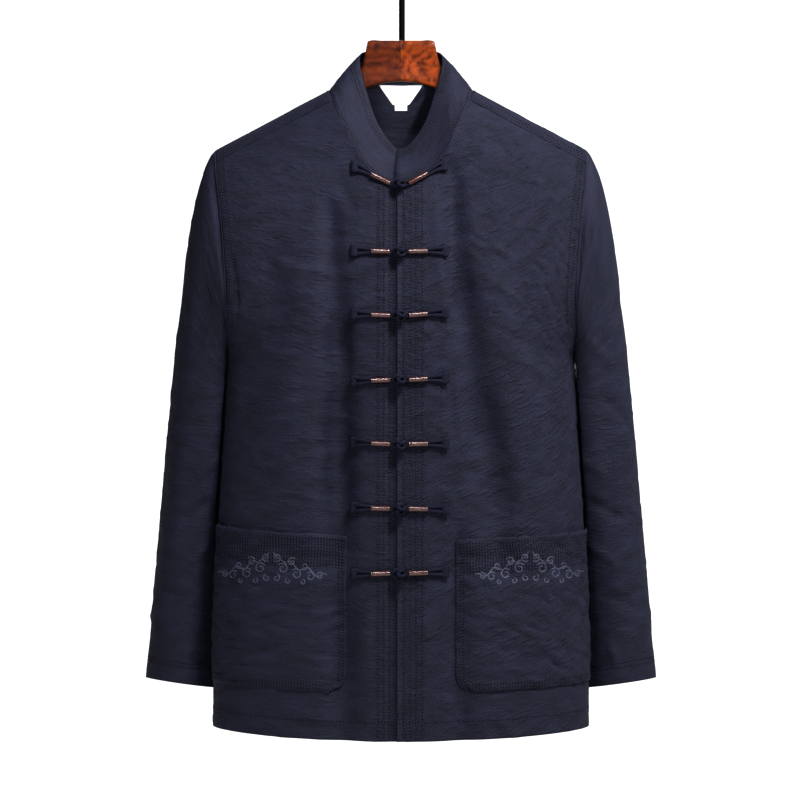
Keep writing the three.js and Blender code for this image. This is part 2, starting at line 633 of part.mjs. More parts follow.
// Lays a mesh along a straight line on the front, its X along the line and its Z out of the cloth. The line's
// ends are given as places on the cloth, high is the mesh's height across the line and lift the distance from
// the cloth to the line. It is moved out until it is clear of the cloth all along.
function layAlong(mesh, from, to, high, lift) {
  const ends = [from, to].map(({ x, z }) => v3(x, onFront(x, z) - lift, z));
  let inside = 0;
  for (const along of [0, 0.25, 0.5, 0.75, 1]) {
    for (const up of [-high / 2, 0, high / 2]) {
      const p = ends[0].clone().lerp(ends[1], along);
      inside = max(inside, p.y + lift - onFront(p.x, p.z + up));
    }
  }
  ends.forEach((end) => (end.y -= inside));
  const along = ends[1].clone().sub(ends[0]).normalize();
  const out = v3(0, -1, 0).addScaledVector(along, along.y).normalize();
  mesh.quaternion.setFromRotationMatrix(new THREE.Matrix4().makeBasis(along, out.clone().cross(along), out));
  mesh.position.copy(ends[0]).lerp(ends[1], 0.5);
}

// One side of a fastening: a wrapped tube beside the knot, and a strap that widens to its sewn end
function addFasteningSide(number, side, across, knot, rise) {
  const { tube, tubeStart, tubeEnd, strapEnd, strapHigh, strapNeck, strapThick } = FASTENING;
  const place = (reach) => ({
    x: knot.x + across * reach,
    z: knot.z + rise * smooth((reach - tubeStart / 2) / (strapEnd - tubeStart / 2)),
  });
  const onCollar = number === 1 ? NECK_LIFT : 0;
  const roll = new THREE.CylinderGeometry(tube, tube, tubeEnd - tubeStart - 2 * SEAM, 10, 1);
  const tubeMesh = addMesh(`tube_${side}_${number}`, roll.rotateZ(PI / 2), COPPER);
  layAlong(tubeMesh, place(tubeStart), place(tubeEnd), tube, tube + LAY + onCollar);

  const length = strapEnd - tubeEnd - 2 * SEAM;
  const outline = new THREE.Shape([
    new THREE.Vector2(-length / 2, -strapNeck / 2),
    new THREE.Vector2(length / 2 - STRAP_BOX, -strapHigh / 2 + STRAP_STEP),
    new THREE.Vector2(length / 2, -strapHigh / 2),
    new THREE.Vector2(length / 2, strapHigh / 2),
    new THREE.Vector2(length / 2 - STRAP_BOX, strapHigh / 2 - STRAP_STEP),
    new THREE.Vector2(-length / 2, strapNeck / 2),
  ]);
  const strap = new THREE.ExtrudeGeometry(outline, { depth: strapThick, bevelEnabled: false, steps: 1 });
  strap.translate(0, 0, -strapThick / 2);
  const strapMesh = addMesh(`strap_${side}_${number}`, strap, CORD);
  layAlong(strapMesh, place(tubeEnd), place(strapEnd), strapHigh, strapThick / 2 + LAY + onCollar);
}

function addFastenings() {
  STRAP_RISE.forEach((rise, i) => {
    const z = i === 0 ? NECK_KNOT_Z : FASTENING.first - FASTENING.pitch * (i - 1);
    const knot = v3(FASTENING.middle, onFront(FASTENING.middle, z) - LAY - FASTENING.knot, z);
    addMesh(`knot_${i + 1}`, new THREE.IcosahedronGeometry(FASTENING.knot, 1), CORD).position.copy(knot);
    addFasteningSide(i + 1, "right", -1, knot, rise.right);
    addFasteningSide(i + 1, "left", 1, knot, rise.left);
  });
}

// The label hangs from the collar seam down the inside of the back
function addLabel() {
  const seamZ = back.points.at(-1)[(back.points[0].length - 1) / 2].z;
  const across = [-1, -0.5, 0, 0.5, 1];
  const points = LABEL.map(({ down, half }) =>
    across.map((share) => {
      const [x, z] = [share * half, seamZ - down];
      return v3(x, yOnSheet(back, x, z) - WALL - LABEL_LIFT, z);
    }),
  );
  const normals = points.map((row) => row.map(() => v3(0, -1, 0)));
  wallMesh("label", { points, normals }, 0, LABEL_WALL, CREAM);
}

// One half of the hanger, glued to the other at the middle, its arm just under the shoulder
function addHangerHalf(name, across, material) {
  const sides = 12;
  const vertices = [];
  for (const { x, top, foot, thick, round } of HANGER) {
    const high = top ?? ridgeZ(x) - WALL - WOOD_GAP;
    for (let i = 0; i < sides; i++) {
      const turn = (2 * PI * i) / sides;
      const y = signedPow(cos(turn), round) * thick;
      const z = lerp(foot, high, 0.5 + 0.5 * signedPow(sin(turn), round));
      vertices.push(x * across, y, z);
    }
  }
  const faces = [];
  for (let r = 0; r + 1 < HANGER.length; r++) {
    for (let i = 0; i < sides; i++) {
      const [a, b] = [r * sides + i, r * sides + ((i + 1) % sides)];
      faces.push(a, b, b + sides, a, b + sides, a + sides);
    }
  }
  const end = (HANGER.length - 1) * sides;
  for (let i = 1; i + 1 < sides; i++) faces.push(0, i + 1, i, end, end + i, end + i + 1);
  addSolid(name, vertices, faces, material);
}

// The hook: a straight shank on the hanger's block, a bend to one side and an open round over the rail
function addHook() {
  const round = HOOK.inner + HOOK.wire;
  const centreZ = -HOOK.inner;
  const onRound = (degrees) => {
    const turn = (degrees * PI) / 180;
    return v3(round * cos(turn), 0, centreZ + round * sin(turn));
  };
  const path = new THREE.CurvePath();
  const join = onRound(HOOK.join);
  const joinTurn = (HOOK.join * PI) / 180;
  const beforeJoin = join.clone().addScaledVector(v3(sin(joinTurn), 0, -cos(joinTurn)), HOOK.bend);
  const shankFoot = v3(HOOK.x, 0, HANGER[0].top + SEAM);
  const shankTop = v3(HOOK.x, 0, HOOK.straight);
  path.add(new THREE.LineCurve3(shankFoot, shankTop));
  const aboveShank = v3(HOOK.x, 0, HOOK.straight + HOOK.bend);
  path.add(new THREE.CubicBezierCurve3(shankTop, aboveShank, beforeJoin, join));
  const stops = [];
  for (let share = 0; share <= 1; share += 1 / 16) stops.push(onRound(lerp(HOOK.join, HOOK.tip, share)));
  path.add(new THREE.CatmullRomCurve3(stops));
  const section = new THREE.Shape();
  section.absarc(0, 0, HOOK.wire, 0, 2 * PI);
  const options = { extrudePath: path, steps: HOOK_STEPS, bevelEnabled: false, curveSegments: 10 };
  addMesh("hook", new THREE.ExtrudeGeometry(section, options), WIRE);
}

wallMesh("front_left", frontLeft, -WALL, 0, CLOTH);
wallMesh("front_right", frontRight, -WALL, 0, CLOTH);
wallMesh("back", back, -WALL, 0, CLOTH);
wallMesh("sleeve_left", sleeveSheet(1), -WALL, 0, CLOTH, true);
wallMesh("sleeve_right", sleeveSheet(-1), -WALL, 0, CLOTH, true);
wallMesh("collar", collarSheet(), -WALL, 0, CLOTH);
wallMesh("pocket_left", pocketSheet(frontLeft), LAY, LAY + PATCH_WALL, CLOTH_PATCH);
wallMesh("pocket_right", pocketSheet(frontRight), LAY, LAY + PATCH_WALL, CLOTH_PATCH);
addFastenings();
addLabel();
addHangerHalf("hanger_left", 1, WOOD_LIGHT);
addHangerHalf("hanger_right", -1, WOOD_DARK);
addHook();

export default part;
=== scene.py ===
"""Dresses a kung fu jacket on a wooden hanger. Metres, +Z up, the front faces -Y, +X is the viewer's right.

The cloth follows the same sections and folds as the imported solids, in a finer mesh with its smaller creases.
"left" and "right" in a name are the wearer's, so the left front is at +X and laps over the right one.
"""
import logging
import math
from collections.abc import Callable, Sequence
from dataclasses import dataclass
from enum import Enum

import bpy
import numpy as np
from mathutils import Matrix, Vector
from mathutils.bvhtree import BVHTree


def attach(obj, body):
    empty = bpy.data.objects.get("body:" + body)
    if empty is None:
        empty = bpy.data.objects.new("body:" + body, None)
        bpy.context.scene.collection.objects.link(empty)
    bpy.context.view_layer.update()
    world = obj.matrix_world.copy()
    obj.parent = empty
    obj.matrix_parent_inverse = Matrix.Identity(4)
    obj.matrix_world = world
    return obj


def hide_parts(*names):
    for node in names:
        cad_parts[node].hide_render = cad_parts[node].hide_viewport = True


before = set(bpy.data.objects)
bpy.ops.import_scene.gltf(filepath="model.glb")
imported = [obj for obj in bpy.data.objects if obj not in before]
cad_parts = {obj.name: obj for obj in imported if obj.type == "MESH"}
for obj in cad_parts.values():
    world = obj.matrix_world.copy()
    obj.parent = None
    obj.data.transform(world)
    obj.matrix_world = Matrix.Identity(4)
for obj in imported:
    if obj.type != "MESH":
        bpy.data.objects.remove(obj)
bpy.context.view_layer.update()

LOG = logging.getLogger("jacket")
Array = np.ndarray


class Face(Enum):
    """Which half of the body a panel belongs to, by the way it faces along Y."""

    FRONT = -1
    BACK = 1


class Side(Enum):
    """The wearer's side, by the sign of x."""

    LEFT = 1
    RIGHT = -1

    @property
    def word(self) -> str:
        """The side's name as the nodes spell it."""
        return self.name.lower()


class Edge(Enum):
    """An edge of a sheet, as the axis that runs away from it and the way along that axis."""

    FOOT = (0, 1)
    TOP = (0, -1)
    START = (1, 1)
    END = (1, -1)


def lerp(a: Array | float, b: Array | float, t: Array | float) -> Array | float:
    """The value a share t of the way from a to b."""
    return a + (b - a) * t


def smooth(t: Array | float) -> Array:
    """A share that starts and ends gently, from 0 below 0 to 1 above 1."""
    t = np.clip(t, 0.0, 1.0)
    return t * t * (3 - 2 * t)


def unit(vectors: Array) -> Array:
    """The directions of vectors in the last axis."""
    length = np.linalg.norm(vectors, axis=-1, keepdims=True)
    return vectors / np.maximum(length, 1e-12)


def signed_power(value: Array, power: float) -> Array:
    """The power of the size of a value, with the value's sign."""
    return np.sign(value) * np.abs(value) ** power


def soft_ridge(off: Array, wide: float, high: float) -> Array:
    """The height of a soft ridge, or the depth of a groove, at distances off its middle."""
    return high * np.exp(-((off / wide) ** 2))


def way_along(points: Array) -> Array:
    """How far along a line each of its points lies."""
    return np.concatenate([[0], np.cumsum(np.linalg.norm(np.diff(points, axis=0), axis=1))])


class Table:
    """A short table with named columns, whose rows are in order of its first column."""

    def __init__(self, columns: str, rows: Sequence[Sequence[float]]) -> None:
        """Keeps the rows under the names in columns."""
        self.names = columns.split()
        self.rows = [dict(zip(self.names, row)) for row in rows]

    def curve(self, name: str) -> Callable[[Array], Array]:
        """A smooth curve through one column.

        Args:
            name: the column's name.

        Returns:
            A function of the first column's value, which goes on straight past the table's ends.
        """
        key = np.array([row[self.names[0]] for row in self.rows])
        value = np.array([row[name] for row in self.rows])
        rates = np.diff(value) / np.diff(key)
        inner = (value[2:] - value[:-2]) / (key[2:] - key[:-2])
        slope = np.concatenate([rates[:1], inner, rates[-1:]])

        def at(u: Array) -> Array:
            """The curve's value at u.

            Args:
                u: the places to look up.

            Returns:
                The values.
            """
            i = np.clip(np.searchsorted(key, u, side="right") - 1, 0, len(key) - 2)
            step = key[i + 1] - key[i]
            t = np.clip((u - key[i]) / step, 0, 1)
            ends = value[i] * (1 + 2 * t) * (1 - t) ** 2 + value[i + 1] * t * t * (3 - 2 * t)
            bend = step * (slope[i] * t * (1 - t) ** 2 - slope[i + 1] * t * t * (1 - t))
            before = slope[0] * np.minimum(u - key[0], 0)
            after = slope[-1] * np.maximum(u - key[-1], 0)
            return ends + bend + before + after

        return at


# Sections of the body: half width at the side or armhole edge, and depth in front of and behind the ridge
BODY = Table(
    "z half front back",
    [
        (-0.885, 0.2115, 0.090, 0.086),
        (-0.760, 0.2100, 0.088, 0.083),
        (-0.650, 0.2055, 0.086, 0.080),
        (-0.560, 0.2000, 0.084, 0.078),
        (-0.470, 0.1950, 0.082, 0.077),
        (-0.400, 0.1930, 0.079, 0.075),
        (-0.350, 0.1955, 0.073, 0.070),
        (-0.300, 0.1995, 0.063, 0.062),
        (-0.240, 0.2065, 0.051, 0.051),
        (-0.150, 0.2075, 0.046, 0.046),
    ],
)
# The front neckline: how high its edge is at each distance from the centre
NECK_FRONT = Table(
    "x z",
    [(0, -0.262), (0.0145, -0.2605), (0.0345, -0.249), (0.049, -0.2285), (0.062, -0.200), (0.0765, -0.1704)],
)
# The back neckline: x on the neckline and the angle round the arch, for each column of the panel below it
NECK_BACK = Table(
    "column x arch",
    [
        (0, 0, 0.93),
        (0.022, 0.024, 0.77),
        (0.042, 0.046, 0.60),
        (0.056, 0.064, 0.43),
        (0.065, 0.075, 0.25),
        (0.072, 0.080, 0),
        (0.0745, 0.0793, -0.33),
        (0.077, 0.0765, -0.644),
    ],
)
# The collar's top edge, by the share of the way round the neckline from the centre back to the centre front
COLLAR_TOP = Table(
    "turn x y z",
    [
        (0, 0, 0.031, -0.107),
        (0.17, 0.026, 0.027, -0.108),
        (0.31, 0.041, 0.012, -0.1105),
        (0.39, 0.046, -0.002, -0.117),
        (0.49, 0.044, -0.011, -0.136),
        (0.63, 0.0365, -0.015, -0.163),
        (0.75, 0.0285, -0.018, -0.188),
        (0.85, 0.019, -0.020, -0.206),
        (0.94, 0.007, -0.0215, -0.2195),
        (1, 0, -0.022, -0.223),
    ],
)
# Sections of a hanging sleeve: its middle, half width and half depth
SLEEVE = Table(
    "z x y wide deep",
    [
        (-0.827, 0.249, 0.051, 0.0425, 0.050),
        (-0.760, 0.246, 0.049, 0.0415, 0.053),
        (-0.650, 0.236, 0.044, 0.041, 0.057),
        (-0.560, 0.228, 0.039, 0.0395, 0.061),
        (-0.504, 0.223, 0.036, 0.039, 0.062),
    ],
)
# Sections of a hanger's half: its top and bottom edges, its half thickness, and how round the section is.
# Beyond the neck the top is just under the shoulder.
HANGER = Table(
    "x top foot thick round",
    [
        (0.00015, -0.100, -0.1455, 0.0070, 0.45),
        (0.020, -0.100, -0.1475, 0.0070, 0.45),
        (0.0375, -0.101, -0.153, 0.0070, 0.45),
        (0.0395, -0.110, -0.154, 0.0070, 0.5),
        (0.043, -0.124, -0.156, 0.0064, 0.7),
        (0.052, -0.145, -0.163, 0.0062, 0.9),
        (0.066, -0.156, -0.172, 0.0066, 1),
        (0.084, -0.1593, -0.182, 0.0076, 1),
        (0.110, -0.1731, -0.197, 0.0086, 1),
        (0.140, -0.1890, -0.213, 0.0092, 1),
        (0.170, -0.2049, -0.228, 0.0094, 1),
        (0.184, -0.2123, -0.234, 0.0086, 1),
        (0.189, -0.2150, -0.232, 0.0055, 1),
    ],
)

# The fronts' large folds, as rows of x1, z1, x2, z2, half width and height outwards, from the top down
FRONT_FOLDS = [
    (-0.066, -0.390, -0.069, -0.655, 0.017, -0.008),
    (-0.064, -0.690, -0.062, -0.900, 0.015, -0.005),
    (0.060, -0.330, 0.082, -0.470, 0.016, -0.006),
    (0.084, -0.470, 0.122, -0.660, 0.017, -0.007),
    (0.056, -0.620, 0.066, -0.900, 0.015, -0.005),
    (-0.150, -0.300, -0.120, -0.480, 0.024, -0.004),
    (0.150, -0.290, 0.118, -0.440, 0.024, -0.004),
]
PLACKET_FOLD = (-0.002, -0.235, -0.002, -0.900, 0.050, 0.0035)
BACK_FOLDS = [
    (0.008, -0.300, 0.004, -0.900, 0.034, -0.006),
    (-0.092, -0.330, -0.064, -0.900, 0.026, 0.005),
    (0.096, -0.320, 0.074, -0.900, 0.026, 0.006),
    (-0.150, -0.420, -0.132, -0.900, 0.020, -0.006),
    (0.148, -0.400, 0.138, -0.900, 0.020, -0.005),
]
FOLD_FADE = 0.060
# Smaller creases, on each panel's own outer face
FRONT_CREASES = [
    (0.055, -0.245, 0.068, -0.440, 0.012, -0.0100),
    (0.072, -0.410, 0.092, -0.590, 0.013, -0.0095),
    (0.088, -0.550, 0.108, -0.720, 0.014, -0.0085),
    (0.040, -0.270, 0.050, -0.420, 0.009, 0.0026),
    (0.104, -0.320, 0.130, -0.600, 0.024, 0.0045),
    (-0.078, -0.270, -0.076, -0.380, 0.012, -0.0065),
    (-0.074, -0.340, -0.068, -0.490, 0.013, -0.0070),
    (-0.070, -0.460, -0.068, -0.740, 0.015, -0.0100),
    (-0.068, -0.690, -0.066, -0.860, 0.012, -0.0050),
    (-0.122, -0.320, -0.112, -0.640, 0.028, 0.0045),
    (0.046, -0.225, 0.068, -0.285, 0.007, -0.0022),
    (0.062, -0.300, 0.066, -0.400, 0.007, 0.0018),
    (0.094, -0.330, 0.140, -0.352, 0.005, 0.0014),
    (0.100, -0.372, 0.152, -0.402, 0.005, 0.0015),
    (0.092, -0.420, 0.150, -0.446, 0.006, -0.0014),
    (0.106, -0.450, 0.166, -0.484, 0.005, 0.0016),
    (0.050, -0.455, 0.062, -0.560, 0.006, -0.0016),
    (0.130, -0.500, 0.182, -0.530, 0.006, 0.0014),
    (0.052, -0.620, 0.060, -0.760, 0.006, 0.0014),
    (0.096, -0.850, 0.118, -0.882, 0.006, 0.0030),
    (-0.036, -0.690, -0.040, -0.800, 0.008, 0.0016),
    (-0.072, -0.250, -0.050, -0.300, 0.008, -0.0014),
    (-0.160, -0.352, -0.100, -0.362, 0.006, 0.0013),
    (-0.168, -0.404, -0.112, -0.398, 0.006, -0.0012),
    (-0.170, -0.446, -0.096, -0.458, 0.005, 0.0014),
    (-0.100, -0.500, -0.160, -0.522, 0.006, 0.0012),
    (-0.050, -0.380, -0.052, -0.500, 0.006, 0.0014),
    (-0.238, -0.330, -0.222, -0.420, 0.007, -0.0022),
    (0.236, -0.330, 0.218, -0.430, 0.007, -0.0022),
]
BACK_CREASES = [
    (-0.060, -0.250, -0.110, -0.300, 0.007, 0.0016),
    (0.052, -0.246, 0.120, -0.306, 0.007, 0.0016),
    (-0.120, -0.420, -0.172, -0.462, 0.006, -0.0018),
    (0.116, -0.430, 0.168, -0.466, 0.006, -0.0018),
    (-0.030, -0.470, -0.060, -0.640, 0.008, 0.0018),
    (0.036, -0.500, 0.050, -0.700, 0.008, 0.0018),
    (-0.150, -0.600, -0.090, -0.616, 0.006, 0.0014),
    (0.100, -0.660, 0.160, -0.640, 0.006, 0.0014),
    (-0.020, -0.760, -0.030, -0.884, 0.007, 0.0022),
    (0.110, -0.790, 0.120, -0.884, 0.007, 0.0022),
]
# Folds of a sleeve: the angle round it at the top and the foot, in degrees from the side against the body by
# the front, its half width in degrees, and its height outwards
SLEEVE_FOLDS = [
    (70, -0.290, 52, -0.640, 18, 0.003),
    (106, -0.330, 92, -0.700, 17, -0.0025),
    (285, -0.430, 250, -0.690, 20, -0.005),
    (150, -0.560, 175, -0.820, 22, -0.003),
]
# Smaller creases of a sleeve, most of them across it at a slant
SLEEVE_CREASES = [
    (40, -0.560, 96, -0.596, 9, 0.0020),
    (50, -0.612, 112, -0.640, 8, -0.0022),
    (44, -0.660, 100, -0.694, 8, 0.0020),
    (60, -0.716, 124, -0.742, 9, -0.0018),
    (70, -0.430, 120, -0.470, 9, 0.0016),
    (96, -0.500, 146, -0.534, 9, -0.0018),
    (118, -0.620, 176, -0.650, 9, 0.0020),
    (128, -0.720, 184, -0.756, 9, 0.0018),
    (76, -0.770, 84, -0.822, 8, 0.0022),
    (212, -0.520, 262, -0.560, 10, 0.0022),
    (220, -0.600, 276, -0.632, 10, -0.0022),
    (230, -0.690, 282, -0.720, 10, 0.0020),
    (160, -0.350, 190, -0.440, 11, -0.0018),
    (246, -0.330, 262, -0.420, 10, -0.0020),
]


@dataclass
class Cloth:
    """Thickness of the cloth and the gaps between its pieces."""

    wall: float = 0.0014
    patch: float = 0.0012
    label: float = 0.0010
    seam: float = 0.0003
    lay: float = 0.00035


CLOTH = Cloth()


def crease_height(x: Array, z: Array, creases: Sequence[Sequence[float]]) -> Array:
    """The height of straight creases.

    Args:
        x: places across, in the creases' own measure.
        z: heights of the same places.
        creases: rows of x1, z1, x2, z2, half width and height, from end to end.

    Returns:
        The height at each place, outwards.
    """
    height = np.zeros(np.broadcast(x, z).shape)
    for x1, z1, x2, z2, wide, high in creases:
        length = math.hypot(x2 - x1, z2 - z1)
        along = ((x - x1) * (x2 - x1) + (z - z1) * (z2 - z1)) / length
        off = np.abs((x - x1) * (z2 - z1) - (z - z1) * (x2 - x1)) / length
        fade = smooth(along / (0.3 * length)) * smooth((length - along) / (0.3 * length))
        height += high * fade * np.exp(-((off / wide) ** 2))
    return height


def fold_height(x: Array, z: Array, folds: Sequence[Sequence[float]], wide_power: float = 2.0) -> Array:
    """The height of long folds, measured across at each height, which fade over a set length.

    Args:
        x: places across, in the folds' own measure.
        z: heights of the same places.
        folds: rows of x1, z1, x2, z2, half width and height, from the top down.
        wide_power: 2 for a round fold and 4 for a flat-topped one.

    Returns:
        The height at each place, outwards.
    """
    height = np.zeros(np.broadcast(x, z).shape)
    for x1, z1, x2, z2, wide, high in folds:
        down = np.clip((z1 - z) / (z1 - z2), 0, 1)
        past_hem = 1.0 if z2 < BodyShape.hem_z else 0.0
        fade = smooth((z1 - z) / FOLD_FADE) * smooth((z - z2) / FOLD_FADE + past_hem)
        off = np.abs(x - lerp(x1, x2, down)) / wide
        height += high * fade * np.exp(-(off**wide_power))
    return height


# The crinkle's half length and half width, from the least to the most, and its height
CRINKLE_SIZE = ((0.010, 0.0016), (0.024, 0.0034))
CRINKLE_HIGH = (0.00022, 0.00062)


def crinkle(u: Array, v: Array, count: int, seed: int, tilt: float, spread: float) -> Array:
    """Many short sharp creases, as on washed linen, strewn over a sheet.

    Args:
        u: places across the cloth, in metres.
        v: places up the cloth, in metres.
        count: how many creases.
        seed: of the places, so that each run is the same.
        tilt: the creases' mean direction, in degrees from across.
        spread: how far their directions vary, in degrees.

    Returns:
        The height at each place, outwards.
    """
    random = np.random.default_rng(seed)
    height = np.zeros(u.shape)
    low_u, high_u, low_v, high_v = u.min(), u.max(), v.min(), v.max()
    for _ in range(count):
        middle = random.uniform((low_u, low_v), (high_u, high_v))
        turn = math.radians(random.normal(tilt, spread))
        half, wide = random.uniform(*CRINKLE_SIZE)
        high = random.choice([-1, 1]) * random.uniform(*CRINKLE_HIGH)
        near = (np.abs(u - middle[0]) < half + wide) & (np.abs(v - middle[1]) < half + wide)
        du, dv = u[near] - middle[0], v[near] - middle[1]
        along = (du * math.cos(turn) + dv * math.sin(turn)) / half
        off = (dv * math.cos(turn) - du * math.sin(turn) + 0.12 * half * along**2) / wide
        height[near] += high * smooth(1.5 - 1.5 * np.abs(along)) * np.exp(-np.abs(off) ** 1.5)
    return height


@dataclass
class Sheet:
    """Points of a cloth's outer face over rows and columns, with the directions out of it."""

    points: Array
    outward: float
    ring: bool = False
    flat_uv: Array | None = None
    sewn: Array | None = None

    def __post_init__(self) -> None:
        """Works out the directions and, where they aren't given, the places on the flat cloth."""
        if self.ring:
            wide = np.concatenate([self.points[:, -1:], self.points, self.points[:, :1]], axis=1)
            across = (wide[:, 2:] - wide[:, :-2]) / 2
        else:
            across = np.gradient(self.points, axis=1)
        self.normals = unit(np.cross(across, np.gradient(self.points, axis=0))) * self.outward
        if self.flat_uv is not None:
            self.uv = self.flat_uv
            return
        closed = self.points
        if self.ring:
            closed = np.concatenate([closed, closed[:, :1]], axis=1)
        steps = np.linalg.norm(np.diff(closed, axis=1), axis=2)
        u = np.concatenate([np.zeros((len(steps), 1)), np.cumsum(steps, axis=1)], axis=1)
        u -= u[:, -1:] / 2
        rises = np.linalg.norm(np.diff(closed, axis=0), axis=2).mean(axis=1)
        v = np.concatenate([[0], np.cumsum(rises)])
        self.uv = np.stack([u, np.broadcast_to(v[:, None], u.shape)], axis=2)

    @property
    def flat(self) -> tuple[Array, Array]:
        """The place of each point on the flat cloth, across and up."""
        columns = self.points.shape[1]
        return self.uv[:, :columns, 0], self.uv[:, :columns, 1]

    def raised(self, height: Array | float) -> "Sheet":
        """The sheet moved out along its directions by a height at each point."""
        lift = np.broadcast_to(np.asarray(height)[..., None], self.normals.shape)
        return Sheet(self.points + self.normals * lift, self.outward, self.ring, self.flat_uv, self.sewn)

    def distance(self, edge: Edge) -> Array:
        """How far each point is from an edge, along the cloth.

        Args:
            edge: the edge to measure from.

        Returns:
            The distances, one for each point.
        """
        axis, way = edge.value
        points = self.points if way > 0 else np.flip(self.points, axis)
        steps = np.linalg.norm(np.diff(points, axis=axis), axis=2)
        start = np.zeros_like(np.take(steps, [0], axis=axis))
        gone = np.concatenate([start, np.cumsum(steps, axis=axis)], axis=axis)
        return gone if way > 0 else np.flip(gone, axis)

    def inset_line(
        self, edge: Edge, inset: float, first: float, last: float, count: int
    ) -> tuple[Array, Array]:
        """Points and directions along a line at a distance from an edge.

        Args:
            edge: the edge.
            inset: the distance.
            first: the column, or the row for a side edge, at which the line starts.
            last: where it ends.
            count: how many points.

        Returns:
            The points and the directions.
        """
        axis, way = edge.value
        lines = self.distance(edge)
        places = np.linspace(first, last, count)
        found = []
        for place in places:
            line = np.take(lines, int(round(place)) % lines.shape[1 - axis], axis=1 - axis)
            index = np.arange(len(line))
            found.append(np.interp(inset, line[::way], index[::way]))
        row, column = (found, places) if axis == 0 else (places, found)
        return self.at(np.array(row), np.array(column))

    def at(self, row: Array, column: Array) -> tuple[Array, Array]:
        """Points and directions at fractional rows and columns.

        Args:
            row: the rows, whole or between two.
            column: the columns, likewise.

        Returns:
            The points and the directions.
        """
        rows, columns = self.points.shape[:2]
        row = np.clip(row, 0, rows - 1.001)
        column = np.mod(column, columns) if self.ring else np.clip(column, 0, columns - 1.001)
        r, c = np.floor(row).astype(int), np.floor(column).astype(int)
        s, t = (row - r)[:, None], (column - c)[:, None]
        after = (c + 1) % columns
        found = []
        for values in (self.points, self.normals):
            low = lerp(values[r, c], values[r, after], t)
            high = lerp(values[r + 1, c], values[r + 1, after], t)
            found.append(lerp(low, high, s))
        return found[0], unit(found[1])


def sewn_band(distance: Array, places: Sequence[float], soft: float = 0.0035) -> Array:
    """How much cloth is drawn up by the rows of stitches between the first and last of some distances; the
    cloth's material also darkens its colour there as painted shade.
    """
    return smooth((distance - places[0]) / soft + 1) * smooth((places[-1] - distance) / soft + 1)


def clear_selection() -> None:
    """Deselects all objects, so that an operator works on its own piece alone."""
    for obj in bpy.context.selected_objects:
        obj.select_set(False)


def select(obj: bpy.types.Object) -> None:
    """Makes one object the selected and active one.

    Args:
        obj: the object.
    """
    clear_selection()
    obj.select_set(True)
    bpy.context.view_layer.objects.active = obj


def new_mesh(
    name: str, points: Array, faces: Sequence, material: bpy.types.Material, slot: str, node: str = ""
) -> bpy.types.Object:
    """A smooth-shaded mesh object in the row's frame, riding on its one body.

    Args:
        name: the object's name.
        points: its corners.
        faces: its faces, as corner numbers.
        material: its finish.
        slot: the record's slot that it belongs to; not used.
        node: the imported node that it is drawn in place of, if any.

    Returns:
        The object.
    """
    mesh = bpy.data.meshes.new(name)
    mesh.from_pydata(np.asarray(points).reshape(-1, 3).tolist(), [], [list(map(int, f)) for f in faces])
    mesh.polygons.foreach_set("use_smooth", [True] * len(mesh.polygons))
    mesh.materials.append(material)
    obj = bpy.data.objects.new(name, mesh)
    bpy.context.scene.collection.objects.link(obj)
    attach(obj, "root")
    if node:
        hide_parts(node)
    return obj


def grid_faces(rows: int, columns: int, ring: bool, first: int = 0, flip: bool = False) -> Array:
    """Quads over rows and columns of points numbered row by row from first.

    Args:
        rows: how many rows of points.
        columns: how many points in a row.
        ring: whether a row closes on itself.
        first: the first point's number.
        flip: whether the faces are turned round.

    Returns:
        The faces, four point numbers each.
    """
    spans = columns if ring else columns - 1
    r, c = np.meshgrid(np.arange(rows - 1), np.arange(spans), indexing="ij")
    after = (c + 1) % columns
    low, high = r * columns, (r + 1) * columns
    quads = np.stack([low + c, low + after, high + after, high + c], axis=-1).reshape(-1, 4) + first
    return quads[:, ::-1] if flip else quads


def cloth_wall(
    node: str, sheet: Sheet, near: float, far: float, material: bpy.types.Material, slot: str = "cloth"
) -> bpy.types.Object:
    """A thin closed piece of cloth with its place on the flat cloth as its UV map.

    Args:
        node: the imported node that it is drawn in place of.
        sheet: the cloth's face.
        near: how far out its outer face lies from the sheet.
        far: how far out its inner face lies, which is less.
        material: its finish.
        slot: the record's slot that it belongs to.

    Returns:
        The object.
    """
    rows, columns = sheet.points.shape[:2]
    outer = sheet.points + sheet.normals * near
    inner = sheet.points + sheet.normals * far
    count = rows * columns
    flip = sheet.outward < 0
    parts = [grid_faces(rows, columns, sheet.ring, first, flip != (first > 0)) for first in (0, count)]
    corners = np.arange(count).reshape(rows, columns)
    loops = np.concatenate([corners, corners[:, :1]], axis=1) if sheet.ring else corners
    borders = [(loops[0], True), (loops[-1], False)]
    if not sheet.ring:
        borders += [(corners[:, 0], False), (corners[:, -1], True)]
    for border, turn in borders:
        a, b = border[:-1], border[1:]
        quad = np.stack([a, b, b + count, a + count], axis=1)
        parts.append(quad if turn == flip else quad[:, ::-1])
    faces = np.concatenate(parts)
    points = np.concatenate([outer.reshape(-1, 3), inner.reshape(-1, 3)])
    obj = new_mesh(f"{node}_cloth", points, faces, material, slot, node)
    corner = faces.reshape(-1)
    r, c = (corner % count) // columns, corner % columns
    if sheet.ring:
        wraps = (faces % columns == 0).any(axis=1) & (faces % columns == columns - 1).any(axis=1)
        c = np.where(np.repeat(wraps, 4) & (c == 0), columns, c)
    layer = obj.data.uv_layers.new(name="cloth")
    layer.data.foreach_set("uv", sheet.uv[r, c].reshape(-1))
    # The stitched bands go to the material, which puckers the cloth there and darkens its colour as painted
    # shade
    sewn = np.zeros(2 * count)
    if sheet.sewn is not None:
        sewn[:count] = sheet.sewn.reshape(-1)
    obj.data.attributes.new("sewn", "FLOAT", "POINT").data.foreach_set("value", sewn)
    return obj


